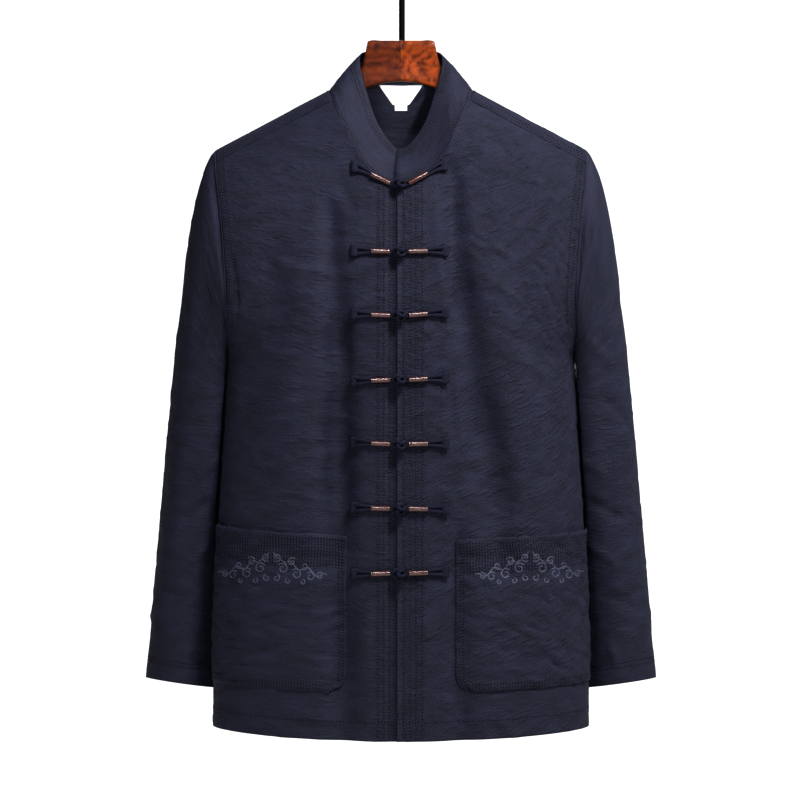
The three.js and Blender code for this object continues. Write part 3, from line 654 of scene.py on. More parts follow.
def tree_of(sheet: Sheet) -> BVHTree:
    """A search tree of a sheet's outer face.

    Args:
        sheet: the sheet.

    Returns:
        The tree.
    """
    rows, columns = sheet.points.shape[:2]
    faces = grid_faces(rows, columns, sheet.ring).tolist()
    return BVHTree.FromPolygons(sheet.points.reshape(-1, 3).tolist(), faces)


@dataclass
class BodyShape:
    """The jacket's body as one smooth surface, from sections across it and an arch over the shoulders."""

    neck_half: float = 0.080
    neck_top_z: float = -0.155
    ridge_fall: float = 0.53
    arch: float = 0.080
    seam_turn: float = 0.644
    edge_turn: float = 0.0049
    underarm_z: float = -0.458
    armhole_open: float = 0.62
    armhole_round: float = 0.085
    squareness: float = 2.5
    hem_z: float = -0.8775
    hem_rise: float = 0.009
    neck_column: float = 0.077
    side_way: float = 0.175
    ridge_row: float = 0.85
    beside_neck: float = 0.5
    swing: float = 0.0045

    def __post_init__(self) -> None:
        """Makes the curves through the tables."""
        self.half = BODY.curve("half")
        self.depth = {Face.FRONT: BODY.curve("front"), Face.BACK: BODY.curve("back")}
        self.neck_front = NECK_FRONT.curve("z")
        self.neck_back_x = NECK_BACK.curve("x")
        self.neck_back_arch = NECK_BACK.curve("arch")

    def ridge_z(self, x: Array) -> Array:
        """The height of the shoulder's ridge."""
        return self.neck_top_z - self.ridge_fall * (np.abs(x) - self.neck_half)

    def drop_at(self, turn: Array) -> Array:
        """How far below the ridge the cloth is at an angle round the arch."""
        turn = np.abs(turn)
        return self.arch * np.where(turn < math.pi / 2, 1 - np.cos(turn), 1 + turn - math.pi / 2)

    def arch_at(self, x: Array, z: Array) -> Array:
        """The angle round the arch at a place."""
        drop = np.maximum(0, self.ridge_z(x) - z) / self.arch
        return np.where(drop < 1, np.arccos(1 - np.minimum(drop, 1)), math.pi / 2 + drop - 1)

    def plan(self, column: Array, half: Array, edge_turn: Array) -> tuple[Array, Array]:
        """Where a column crosses a section.

        Args:
            column: up to 1 a share of the neck column, and from 1 to 2 on to the edge.
            half: the section's half width at the edge.
            edge_turn: the turn at the panel's edge, a quarter at the side seam and less along the armhole.

        Returns:
            The column's x, and its share of the section's depth.
        """
        power = self.squareness
        reach = np.sin(edge_turn) ** (2 / power)
        inner_x = column * self.neck_column
        inner_share = np.maximum(0, 1 - np.abs(inner_x / half * reach) ** power) ** (1 / power)
        start = np.arcsin(np.minimum(1, (self.neck_column / half * reach) ** (power / 2)))
        turn = lerp(start, edge_turn, np.maximum(column, 1) - 1)
        outer_x = half * np.sin(turn) ** (2 / power) / reach
        outer_share = signed_power(np.cos(turn), 2 / power)
        inside = column <= 1
        return np.where(inside, inner_x, outer_x), np.where(inside, inner_share, outer_share)

    def armhole_turn(self, z: Array) -> Array:
        """The turn at the armhole's edge at a height.

        Args:
            z: the height.

        Returns:
            The turn.
        """
        up = np.clip((z - self.underarm_z) / self.armhole_round, 0, 1)
        opening = self.armhole_open * np.sqrt(1 - (1 - up) ** 2)
        return np.arccos(opening ** (self.squareness / 2))

    def top_arch(self, face: Face, column: Array) -> Array:
        """The angle round the arch at which a column's top edge lies.

        Args:
            face: front or back.
            column: the columns, from 0 at the middle to 2 at the side.

        Returns:
            The angles.
        """
        x = column * self.neck_column
        if face is Face.FRONT:
            neck = self.arch_at(x, self.neck_front(np.abs(x)))
            return np.where(column > 1, self.seam_turn, neck) + self.edge_turn
        return np.where(column > 1, -self.seam_turn, self.neck_back_arch(np.abs(x))) + self.edge_turn

    def arch_on_way(self, face: Face, column: Array, foot: Array, up: Array) -> Array:
        """The angle round the arch on the way up a column from the underarm to its top edge.

        Args:
            face: front or back.
            column: the columns.
            foot: the angle at the underarm.
            up: how far up the way, from 0 to 1.

        Returns:
            The angles.
        """
        top = self.top_arch(face, column)
        if face is Face.FRONT:
            return lerp(foot, top, up)
        beside = np.clip((column - self.beside_neck) / (1 - self.beside_neck), 0, 1)
        ridge = lerp(np.maximum(0, top), foot, (1 - self.ridge_row) * (1 - beside))
        below = lerp(foot, ridge, up / self.ridge_row)
        above = lerp(ridge, top, (up - self.ridge_row) / (1 - self.ridge_row))
        return np.where(up < self.ridge_row, below, above)

    def points(self, face: Face, side: Array | float, column: Array, row: Array) -> Array:
        """Points of the outer face.

        Args:
            face: front or back.
            side: the sign of x.
            column: columns as plan takes them.
            row: up to 1 a share of the way from the hem to the underarm, and from 1 to 2 on to the top edge.

        Returns:
            The points, with a last axis of three.
        """
        low_row, up = np.minimum(row, 1), np.maximum(row - 1, 0)
        low_half = self.half(lerp(self.hem_z + self.hem_rise, self.underarm_z, low_row))
        low_x, low_share = self.plan(column, low_half, np.full_like(column, math.pi / 2))
        low_z = lerp(self.hem_z + self.hem_rise * (low_x / low_half) ** 2, self.underarm_z, low_row)

        arm_half = self.half(np.full_like(column, self.underarm_z))
        foot_x, _ = self.plan(column, arm_half, np.full_like(column, math.pi / 2))
        edge = np.full_like(column, 2.0)
        edge_arch = self.arch_on_way(face, edge, self.arch_at(arm_half, self.underarm_z), up)
        edge_x = arm_half
        for _ in range(4):
            edge_x = self.half(self.ridge_z(edge_x) - self.drop_at(edge_arch))
        edge_turn = self.armhole_turn(self.ridge_z(edge_x) - self.drop_at(edge_arch))
        high_x, high_share = self.plan(column, edge_x, edge_turn)
        if face is Face.BACK:
            drawn = lerp(high_x, self.neck_back_x(np.abs(high_x)) * np.sign(high_x), up * up)
            high_x = np.where(column <= 1, drawn, high_x)
            near_ridge = np.maximum(0, 1 - ((up - self.ridge_row) / (1 - self.ridge_row)) ** 2)
            beside = smooth(1 - np.abs(column - 1) / (1 - self.beside_neck))
            high_x = high_x + self.swing * near_ridge * beside
        high_arch = self.arch_on_way(face, column, self.arch_at(foot_x, self.underarm_z), up)

        low = row <= 1
        x = np.where(low, low_x, high_x)
        turn = np.where(low, math.pi / 2, high_arch)
        z = np.where(low, low_z, self.ridge_z(high_x) - self.drop_at(high_arch))
        share = np.where(low, low_share, high_share)
        bend = np.sign(turn) * np.sin(np.minimum(math.pi / 2, np.abs(turn)))
        folds = FRONT_FOLDS if face is Face.FRONT else BACK_FOLDS
        height = fold_height(x * side, z, folds)
        if face is Face.FRONT:
            height = height + fold_height(x * side, z, [PLACKET_FOLD], 4.0)
        depth = np.where(bend < 0, self.depth[Face.FRONT](z), self.depth[face](z))
        return np.stack([x * side, face.value * bend * share * (depth + height), z], axis=-1)

    def along(self, column: Array) -> Array:
        """The distance along the cloth from the centre to a column."""
        return np.minimum(column, 1) * self.neck_column + np.maximum(column - 1, 0) * self.side_way

    def flat_place(self, face: Face, side: Array | float, column: Array, points: Array) -> Array:
        """The place on the flat cloth, with its straight grain hanging down.

        Args:
            face: front or back.
            side: the side of each point.
            column: the columns.
            points: the points.

        Returns:
            The places along and up the cloth.
        """
        x, y, z = np.moveaxis(points, -1, 0)
        over = np.where((y < 0) & (face is Face.BACK), -1.0, 1.0)
        grain = self.ridge_z(x) - self.arch * self.arch_at(x, z) * over
        return np.stack([self.along(column) * side, grain], axis=-1)


SHAPE = BodyShape()


@dataclass
class Stitch:
    """A stitch's sizes: its length, its pitch, half width and height."""

    length: float = 0.0022
    pitch: float = 0.0034
    wide: float = 0.00042
    high: float = 0.00050
    # Half width of the flat near-black diamond after each stitch, painted shade where the needle went through
    hole: float = 0.00065


class Stitching:
    """Collects the stitches of one piece and makes them one mesh."""

    def __init__(self, stitch: Stitch) -> None:
        """Starts with no stitches."""
        self.stitch = stitch
        self.rows: list[tuple[Array, Array]] = []

    def add_line(self, points: Array, normals: Array) -> None:
        """Adds a row of stitches at even steps along a line that lies on the cloth.

        Args:
            points: the line's points.
            normals: the directions out of the cloth there.
        """
        gone = way_along(points)
        count = int(gone[-1] / self.stitch.pitch)
        if count < 1:
            return
        starts = (np.arange(count) + 0.15) * self.stitch.pitch
        ends = []
        for place in (starts, starts + self.stitch.length):
            point = np.stack([np.interp(place, gone, points[:, i]) for i in range(3)], axis=1)
            normal = np.stack([np.interp(place, gone, normals[:, i]) for i in range(3)], axis=1)
            ends.append((point, unit(normal)))
        self.rows.append((np.stack([ends[0][0], ends[1][0]], axis=1), unit(ends[0][1] + ends[1][1])))

    def add_cast(self, tree: BVHTree, plane: Array) -> None:
        """Adds a row along a line of (x, z) places, cast from the front onto a sheet.

        Args:
            tree: the sheet's search tree.
            plane: the (x, z) places.
        """
        points, normals = [], []
        for x, z in plane:
            point, normal, _, _ = tree.ray_cast(Vector((x, -1, z)), Vector((0, 1, 0)))
            if point is not None:
                points.append(point)
                normals.append(normal if normal.y < 0 else -normal)
        if len(points) > 1:
            self.add_line(np.array(points), np.array(normals))

    def build(self, name: str, finish: "Finishes") -> bpy.types.Object:
        """One mesh of all stitches, small rounded bars let into the cloth, each followed by a flat near-black
        diamond, painted shade where the needle went through.

        Args:
            name: the mesh's name.
            finish: the materials.

        Returns:
            The mesh object.
        """
        ends = np.concatenate([row[0] for row in self.rows])
        out = np.concatenate([row[1] for row in self.rows])
        way = ends[:, 1] - ends[:, 0]
        across = unit(np.cross(way, out))
        wide = self.stitch.wide
        ring = [(0, self.stitch.high), (wide, 0.00010), (0, -0.0002), (-wide, 0.00010)]
        layers = [ends[:, 0] - out * 0.0001]
        for share in (0.22, 0.78):
            for side, up in ring:
                layers.append(ends[:, 0] + way * share + across * side + out * up)
        layers.append(ends[:, 1] - out * 0.0001)
        gap = unit(way) * (self.stitch.pitch - self.stitch.length)
        # After each stitch a flat diamond just over the cloth, drawn near-black as painted shade where the
        # needle went through
        for ahead, side in ((-0.25, 0.0), (0.5, self.stitch.hole), (1.25, 0.0), (0.5, -self.stitch.hole)):
            layers.append(ends[:, 1] + gap * ahead + across * side + out * 0.00018)
        points = np.stack(layers, axis=1)
        faces = [(0, 1 + (i + 1) % 4, 1 + i) for i in range(4)]
        faces += [(1 + i, 1 + (i + 1) % 4, 5 + (i + 1) % 4, 5 + i) for i in range(4)]
        faces += [(9, 5 + i, 5 + (i + 1) % 4) for i in range(4)]
        faces.append((10, 11, 12, 13))
        whole = [[corner + 14 * n for corner in face] for n in range(len(points)) for face in faces]
        obj = new_mesh(name, points, whole, finish.thread, "cloth")
        # The diamonds take the near-black painted-shade material
        obj.data.materials.append(finish.hole)
        is_hole_shade = np.arange(len(whole)) % len(faces) == len(faces) - 1
        obj.data.polygons.foreach_set("material_index", is_hole_shade.astype(np.int32))
        return obj


def sweep(
    path: Array, radius: Array | float, sides: int, flat: Array | None = None, closed: bool = False
) -> tuple[Array, list]:
    """A tube along a path.

    Args:
        path: its centre line.
        radius: its radius, one value or one for each point, and with flat its half width.
        sides: corners of its section.
        flat: out directions for a section flattened to half its width, or None for a round one.
        closed: whether the end joins the start.

    Returns:
        The points and the faces.
    """
    count = len(path)
    ahead = np.roll(path, -1, axis=0) - np.roll(path, 1, axis=0)
    if not closed:
        ahead[0], ahead[-1] = path[1] - path[0], path[-1] - path[-2]
    ahead = unit(ahead)
    if flat is None:
        out = np.zeros_like(path)
        out[0] = unit(np.cross(ahead[0], (0.31, -0.62, 0.72)))
        for i in range(1, count):
            out[i] = unit(out[i - 1] - ahead[i] * np.dot(out[i - 1], ahead[i]))
        tall = 1.0
    else:
        out = unit(flat - ahead * np.sum(flat * ahead, axis=1, keepdims=True))
        tall = 0.5
    side = np.cross(ahead, out)
    turn = np.linspace(0, 2 * math.pi, sides, endpoint=False)
    size = np.broadcast_to(np.asarray(radius, dtype=float), (count,))[:, None, None]
    ring = side[:, None] * np.cos(turn)[None, :, None] + out[:, None] * (tall * np.sin(turn))[None, :, None]
    points = (path[:, None] + ring * size).reshape(-1, 3)
    faces = grid_faces(count, sides, True).tolist()
    if closed:
        last = (count - 1) * sides
        faces += [(last + i, last + (i + 1) % sides, (i + 1) % sides, i) for i in range(sides)]
    else:
        faces += [tuple(range(sides))[::-1], tuple(range((count - 1) * sides, count * sides))]
    return points, faces


def join_meshes(pieces: Sequence[tuple[Array, Sequence]]) -> tuple[Array, list]:
    """Several pairs of points and faces as one pair.

    Args:
        pieces: the pairs.

    Returns:
        The points and the faces.
    """
    points, faces, first = [], [], 0
    for piece, piece_faces in pieces:
        points.append(piece)
        faces += [[corner + first for corner in face] for face in piece_faces]
        first += len(piece)
    return np.concatenate(points), faces


def hex_colour(code: str) -> tuple[float, float, float, float]:
    """A linear colour from an sRGB code such as "#2a2b3a".

    Args:
        code: the code.

    Returns:
        Red, green, blue and alpha.
    """
    channels = [int(code[i : i + 2], 16) / 255 for i in (1, 3, 5)]
    linear = [c / 12.92 if c <= 0.04045 else ((c + 0.055) / 1.055) ** 2.4 for c in channels]
    return (*linear, 1.0)


def add_node(tree: bpy.types.NodeTree, kind: str, inputs: dict | None = None, **settings) -> bpy.types.Node:
    """A shader node.

    Args:
        tree: the material's node tree.
        kind: the node's type.
        inputs: a value or an output to link, for each input's name or number.
        settings: the node's own properties.

    Returns:
        The node.
    """
    node = tree.nodes.new(kind)
    for name, value in settings.items():
        setattr(node, name, value)
    for name, value in (inputs or {}).items():
        if isinstance(value, bpy.types.NodeSocket):
            tree.links.new(value, node.inputs[name])
        else:
            node.inputs[name].default_value = value
    return node


def add_math(tree: bpy.types.NodeTree, operation: str, *values) -> bpy.types.NodeSocket:
    """The result of a math node on some values or outputs."""
    return add_node(tree, "ShaderNodeMath", dict(enumerate(values)), operation=operation).outputs[0]


def add_ramp(
    tree: bpy.types.NodeTree, share: bpy.types.NodeSocket, stops: Sequence[tuple[float, str]]
) -> bpy.types.NodeSocket:
    """A colour between two.

    Args:
        tree: the material's node tree.
        share: the value that picks the colour.
        stops: the value and the sRGB code of each of the two.

    Returns:
        The colour's output.
    """
    ramp = add_node(tree, "ShaderNodeValToRGB", {"Fac": share})
    for element, (place, code) in zip(ramp.color_ramp.elements, stops):
        element.position = place
        element.color = hex_colour(code)
    return ramp.outputs["Color"]


def set_inputs(node: bpy.types.Node, values: dict) -> None:
    """Sets the values of a node's inputs by name."""
    for name, value in values.items():
        node.inputs[name].default_value = value


def new_material(name: str) -> tuple[bpy.types.Material, bpy.types.NodeTree, bpy.types.Node]:
    """An empty node material with its surface shader.

    Args:
        name: the material's name.

    Returns:
        The material, its node tree and the shader's node.
    """
    material = bpy.data.materials.new(name)
    material.use_nodes = True
    tree = material.node_tree
    shader = tree.nodes["Principled BSDF"]
    return material, tree, shader


@dataclass(frozen=True)
class ClothFinish:
    """Crinkled plain weave with a slight sheen, drawn on the flat cloth's own metres."""

    name: str
    dark: str
    light: str
    tilt: float = 0.0
    wrinkle: float = 0.0015
    pucker: float = 0.0007
    pitch: float = 0.0008
    roughness: float = 0.72
    sheen: float = 0.04
    # How much the colour darkens along the stitched bands: painted shade of the seams' grooves
    sewn_shade: float = 0.12

    def build(self) -> bpy.types.Material:
        """Makes the material.

        Returns:
            The material.
        """
        material, tree, shader = new_material(self.name)
        flat = add_node(tree, "ShaderNodeUVMap", uv_map="cloth").outputs["UV"]
        sewn = add_node(tree, "ShaderNodeAttribute", attribute_name="sewn").outputs["Fac"]
        turn = (0, 0, math.radians(-self.tilt))
        noises = {}
        for name, kind, scale, detail in (
            ("wrinkle", "RIDGED_MULTIFRACTAL", (64, 200, 1), 2.0),
            ("grain", "FBM", (420, 760, 1), 2.0),
            ("pucker", "FBM", (330, 330, 1), 1.0),
            ("patch", "FBM", (30, 70, 1), 3.0),
        ):
            inputs = {"Vector": flat, "Rotation": turn}
            place = add_node(tree, "ShaderNodeMapping", inputs, vector_type="TEXTURE").outputs[0]
            place = add_node(tree, "ShaderNodeVectorMath", {0: place, 1: scale}, operation="MULTIPLY")
            inputs = {"Vector": place.outputs[0], "Scale": 1.0, "Detail": detail, "Distortion": 0.35}
            noises[name] = add_node(tree, "ShaderNodeTexNoise", inputs, noise_type=kind).outputs["Fac"]
        threads = []
        scale = 2 * math.pi / (20 * self.pitch)
        for direction in ("X", "Y"):
            inputs = {"Vector": flat, "Scale": scale, "Distortion": 1.2, "Detail": 1.0}
            wave = add_node(tree, "ShaderNodeTexWave", inputs, bands_direction=direction)
            threads.append(wave.outputs["Fac"])
        weave = add_math(tree, "MULTIPLY", *threads)

        blend = add_math(tree, "MULTIPLY", add_math(tree, "ADD", noises["grain"], noises["patch"]), 0.5)
        mix = add_ramp(tree, blend, ((0.35, self.dark), (0.65, self.light)))
        # Painted shade: the colour darkens along the stitched bands, standing for the shade in the seams'
        # grooves
        inputs = {"Value": sewn, "To Min": 1.0, "To Max": 1 - self.sewn_shade}
        shade = add_node(tree, "ShaderNodeMapRange", inputs).outputs[0]
        inputs = {0: mix, "Scale": shade}
        colour = add_node(tree, "ShaderNodeVectorMath", inputs, operation="SCALE").outputs[0]
        tree.links.new(colour, shader.inputs["Base Color"])

        pucker = add_math(tree, "MULTIPLY", noises["pucker"], sewn)
        height = None
        for source, depth in (
            (noises["wrinkle"], self.wrinkle),
            (pucker, self.pucker),
            (noises["grain"], self.wrinkle * 0.6),
            (weave, 0.00012),
        ):
            inputs = {"Height": source, "Distance": depth, "Strength": 1.0}
            if height is not None:
                inputs["Normal"] = height
            height = add_node(tree, "ShaderNodeBump", inputs).outputs["Normal"]
        tree.links.new(height, shader.inputs["Normal"])
        values = {"Roughness": self.roughness, "Specular IOR Level": 0.16, "Sheen Weight": self.sheen}
        set_inputs(shader, values | {"Sheen Roughness": 0.45, "Sheen Tint": hex_colour("#8d90ad")})
        return material


@dataclass(frozen=True)
class PlainFinish:
    """One colour with a fine grain in the object's own metres."""

    name: str
    colour: str
    roughness: float
    metallic: float = 0.0
    coat: float = 0.0
    grain: float = 900.0
    depth: float = 0.0001
    specular: float = 0.3

    def build(self) -> bpy.types.Material:
        """Makes the material.

        Returns:
            The material.
        """
        material, tree, shader = new_material(self.name)
        place = add_node(tree, "ShaderNodeTexCoord").outputs["Object"]
        noise = add_node(tree, "ShaderNodeTexNoise", {"Vector": place, "Scale": self.grain, "Detail": 2.0})
        inputs = {"Height": noise.outputs["Fac"], "Distance": self.depth, "Strength": 1.0}
        bump = add_node(tree, "ShaderNodeBump", inputs)
        tree.links.new(bump.outputs["Normal"], shader.inputs["Normal"])
        values = {"Base Color": hex_colour(self.colour), "Roughness": self.roughness}
        values |= {"Metallic": self.metallic, "Coat Weight": self.coat}
        set_inputs(shader, values | {"Specular IOR Level": self.specular})
        return material


@dataclass(frozen=True)
class WoodFinish:
    """Varnished wood with a straight grain that bends round one knot."""

    name: str
    dark: str
    light: str
    knot: tuple[float, float, float]

    def build(self) -> bpy.types.Material:
        """Makes the material.

        Returns:
            The material.
        """
        material, tree, shader = new_material(self.name)
        place = add_node(tree, "ShaderNodeTexCoord").outputs["Object"]
        moved = add_node(tree, "ShaderNodeVectorMath", {0: place, 1: self.knot}, operation="SUBTRACT")
        inputs = {"Vector": moved.outputs[0], "Scale": (0.9, 1.0, 1.0)}
        long = add_node(tree, "ShaderNodeMapping", inputs).outputs[0]
        inputs = {"Vector": long, "Scale": 30.0, "Distortion": 7.0, "Detail": 4.0, "Detail Scale": 2.2}
        rings = add_node(tree, "ShaderNodeTexWave", inputs, wave_type="RINGS", rings_direction="Y")
        stretch = add_node(tree, "ShaderNodeMapping", {"Vector": place, "Scale": (140, 300, 260)}).outputs[0]
        inputs = {"Vector": stretch, "Scale": 1.0, "Detail": 5.0}
        pores = add_node(tree, "ShaderNodeTexNoise", inputs).outputs["Fac"]
        inputs = {"Vector": place, "Scale": 90.0, "Detail": 5.0, "Distortion": 0.8}
        cloud = add_node(tree, "ShaderNodeTexNoise", inputs).outputs["Fac"]
        grain = add_math(tree, "MULTIPLY_ADD", rings.outputs["Fac"], 0.22, cloud)
        grain = add_math(tree, "MULTIPLY_ADD", pores, 0.30, grain)
        mix = add_ramp(tree, grain, ((0.50, self.dark), (1.0, self.light)))
        tree.links.new(mix, shader.inputs["Base Color"])
        bump = add_node(tree, "ShaderNodeBump", {"Height": pores, "Distance": 0.00008, "Strength": 1.0})
        tree.links.new(bump.outputs["Normal"], shader.inputs["Normal"])
        values = {"Roughness": 0.45, "Specular IOR Level": 0.08, "Coat Weight": 0.12, "Coat Roughness": 0.08}
        set_inputs(shader, values)
        return material


class Finishes:
    """All materials of the jacket and its hanger."""

    NAVY = ("#141520", "#212234")

    def __init__(self) -> None:
        """Builds each material once."""
        # Dark navy linen-like cloth of the body, sleeves and collar
        self.cloth = ClothFinish("navy crinkled cloth", *self.NAVY, tilt=4, wrinkle=0.0012).build()
        # The same cloth on the left front and its pocket, where the crinkle runs at a slant
        slant = ClothFinish("navy cloth with slanting crinkle", *self.NAVY, tilt=-29, wrinkle=0.0020)
        self.slant = slant.build()
        # Rolled cords and knots of a smoother navy cloth
        cord = PlainFinish("navy cord", "#1a1b28", 0.7, grain=1100.0, depth=0.0004, specular=0.05)
        self.cord = cord.build()
        # Navy sewing thread
        self.thread = PlainFinish("navy thread", "#25273a", 0.5, specular=0.3).build()
        # Near-black flat diamonds between the stitches, painted shade where the needle went through
        self.hole = PlainFinish("needle hole", "#050508", 0.9, specular=0.0).build()
        # Embroidery thread, tonal but shinier
        self.silk = PlainFinish("navy embroidery thread", "#35374a", 0.4, specular=0.4).build()
        # Copper-brown wound thread of the tubes
        copper = PlainFinish("copper thread", "#3a120e", 0.3, metallic=0.1, coat=1.0, depth=0.00002)
        self.copper = copper.build()
        # Bare cream woven label
        self.label = ClothFinish("cream label", "#fbf5ec", "#fffdf8", wrinkle=0.00004, sheen=0.0).build()
        # Orange-brown varnished half of the hanger, and the darker half
        self.wood_light = WoodFinish("light varnished wood", "#3a1206", "#7e380c", (0.035, 0, -0.132)).build()
        self.wood_dark = WoodFinish("dark varnished wood", "#2c0e06", "#58240a", (-0.030, 0, -0.190)).build()
        # Black wire of the hook
        self.wire = PlainFinish("black wire", "#020202", 0.5, depth=0.00001, specular=0.05).build()


@dataclass
class PanelGrid:
    """How fine the panels' meshes are, in steps along the cloth below and above the underarm."""

    below: float = 0.42
    above: float = 0.31
    placket: float = 0.0018
    front: float = 0.0027
    back: float = 0.0031
    row: float = 0.0026
    back_row: float = 0.0030
    back_top_rows: int = 132

    def rows(self, step: float) -> Array:
        """Rows from the hem to the top edge.

        Args:
            step: the step between two rows in metres.

        Returns:
            The rows, from 0 at the hem to 2 at the top.
        """
        low = np.linspace(0, 1, int(self.below / step))
        high = np.linspace(1, 2, int(self.above / step))[1:]
        return np.concatenate([low, high])


class FrontPanel:
    """A front with its placket, large folds, creases and rows of stitches."""

    FACING = {Side.RIGHT: 0.0482, Side.LEFT: 0.0438}
    ROWS = {Side.RIGHT: (0.0077, 0.0131, 0.0186, 0.0252), Side.LEFT: (0.0033, 0.0099, 0.0164, 0.0235)}
    LAP = {Side.RIGHT: 0.006, Side.LEFT: 0.0045}
    HEM_ROW = 0.021
    ARMHOLE_ROWS = (0.005, 0.0105)
    ARMHOLE_START = 1.02
    # The crinkle's tilt and its spread in degrees
    CRINKLE = {Side.RIGHT: (3.0, 12.0), Side.LEFT: (-24.0, 13.0)}
    ROW_GROOVE = {"wide": 0.0013, "high": 0.00028}
    HEM_GROOVE = {"wide": 0.0018, "high": 0.0003}
    HEM_ROLL = {"wide": 0.004, "high": 0.0006}
    LAP_ROLL = {"wide": 0.0022, "high": 0.0009}

    def __init__(self, side: Side, grid: PanelGrid) -> None:
        """Makes the panel's sheet.

        Args:
            side: the wearer's side.
            grid: how finely it is divided.
        """
        self.side = side
        inner = np.arange(-self.LAP[side], 0.052, grid.placket) / SHAPE.neck_column
        middle = np.arange(inner[-1] + grid.front / SHAPE.neck_column, 1, grid.front / SHAPE.neck_column)
        outer = np.linspace(1, 2, int(SHAPE.side_way / grid.front) + 1)
        self.columns = np.concatenate([inner, middle, outer])
        self.rows = grid.rows(grid.row)
        column, row = np.meshgrid(self.columns, self.rows)
        self.sheet = self.surface(column, row)
        along = SHAPE.along(column)
        placket = np.maximum(sewn_band(along, self.ROWS[side]), 0.6 * sewn_band(along, [self.FACING[side]]))
        armhole = sewn_band(self.sheet.distance(Edge.END), (0, *self.ARMHOLE_ROWS)) * (row > 1)
        hem = 0.5 * sewn_band(self.sheet.distance(Edge.FOOT), [self.HEM_ROW])
        self.sheet.sewn = np.maximum.reduce([placket, armhole, hem])

    def surface(self, column: Array, row: Array) -> Sheet:
        """The panel's outer face over two equal arrays of columns and rows.

        Args:
            column: the columns.
            row: the rows.

        Returns:
            The face as a sheet.
        """
        points = SHAPE.points(Face.FRONT, self.side.value, column, row)
        points[..., 1] -= np.where((column > 1.999) & (row <= 1), CLOTH.seam / 8, 0)
        flat = SHAPE.flat_place(Face.FRONT, self.side.value, column, points)
        base = Sheet(points, self.side.value, flat_uv=flat)
        return base.raised(self.relief(column, base.points))

    def relief(self, column: Array, points: Array) -> Array:
        """The height of the creases, crinkle and stitched bands at places of the panel.

        Args:
            column: the columns.
            points: the places.

        Returns:
            The heights.
        """
        side, along, z = self.side, SHAPE.along(column), points[..., 2]
        across = along * side.value
        height = crease_height(across, z, FRONT_CREASES)
        tilt, spread = self.CRINKLE[side]
        fine = crinkle(across, z, count=620, seed=11 + side.value, tilt=tilt, spread=spread)
        calm = smooth((along - 0.004) / 0.022)
        height += fine * lerp(0.35, 1.3, calm)
        for place in (*self.ROWS[side], self.FACING[side]):
            height -= soft_ridge(along - place, **self.ROW_GROOVE)
        wave = np.sin(2 * math.pi * z / 0.0075 + 3 * np.sin(z / 0.031) + along * 260)
        height += 0.00014 * wave * smooth((0.034 - along) / 0.01)
        hem = z - SHAPE.hem_z
        height -= soft_ridge(hem - self.HEM_ROW, **self.HEM_GROOVE)
        height += soft_ridge(hem, **self.HEM_ROLL)
        if side is Side.LEFT:
            return height + soft_ridge(along + self.LAP[side], **self.LAP_ROLL)
        under = smooth((0.018 - along) / 0.007)
        return height * (1 - 0.8 * under) - (CLOTH.wall + 2 * CLOTH.seam) * under

    def build(self, finish: Finishes) -> None:
        """Makes the panel's mesh and its stitches.

        Args:
            finish: the materials.
        """
        name = f"front_{self.side.word}"
        cloth = finish.slant if self.side is Side.LEFT else finish.cloth
        panel = cloth_wall(name, self.sheet, 0, -CLOTH.wall, cloth)
        stitches = self.stitches().build(f"{name}_stitches", finish)

    def stitches(self) -> Stitching:
        """The placket's rows, the hem, and the rows beside the armhole.

        Returns:
            The stitches.
        """
        sewing = Stitching(Stitch())
        tree = tree_of(self.sheet)
        for place in self.ROWS[self.side]:
            x = place * self.side.value
            top = float(SHAPE.neck_front(np.array(abs(place)))) - 0.003
            z = np.linspace(top, SHAPE.hem_z + 0.003, 240)
            sewing.add_cast(tree, np.stack([np.full(240, x), z], axis=1))
        sewing.add_line(*self.sheet.inset_line(Edge.FOOT, self.HEM_ROW, 2, len(self.columns) - 2, 160))
        first = np.searchsorted(self.rows, self.ARMHOLE_START)
        for inset in self.ARMHOLE_ROWS:
            sewing.add_line(*self.sheet.inset_line(Edge.END, inset, first, len(self.rows) - 2, 150))
        return sewing


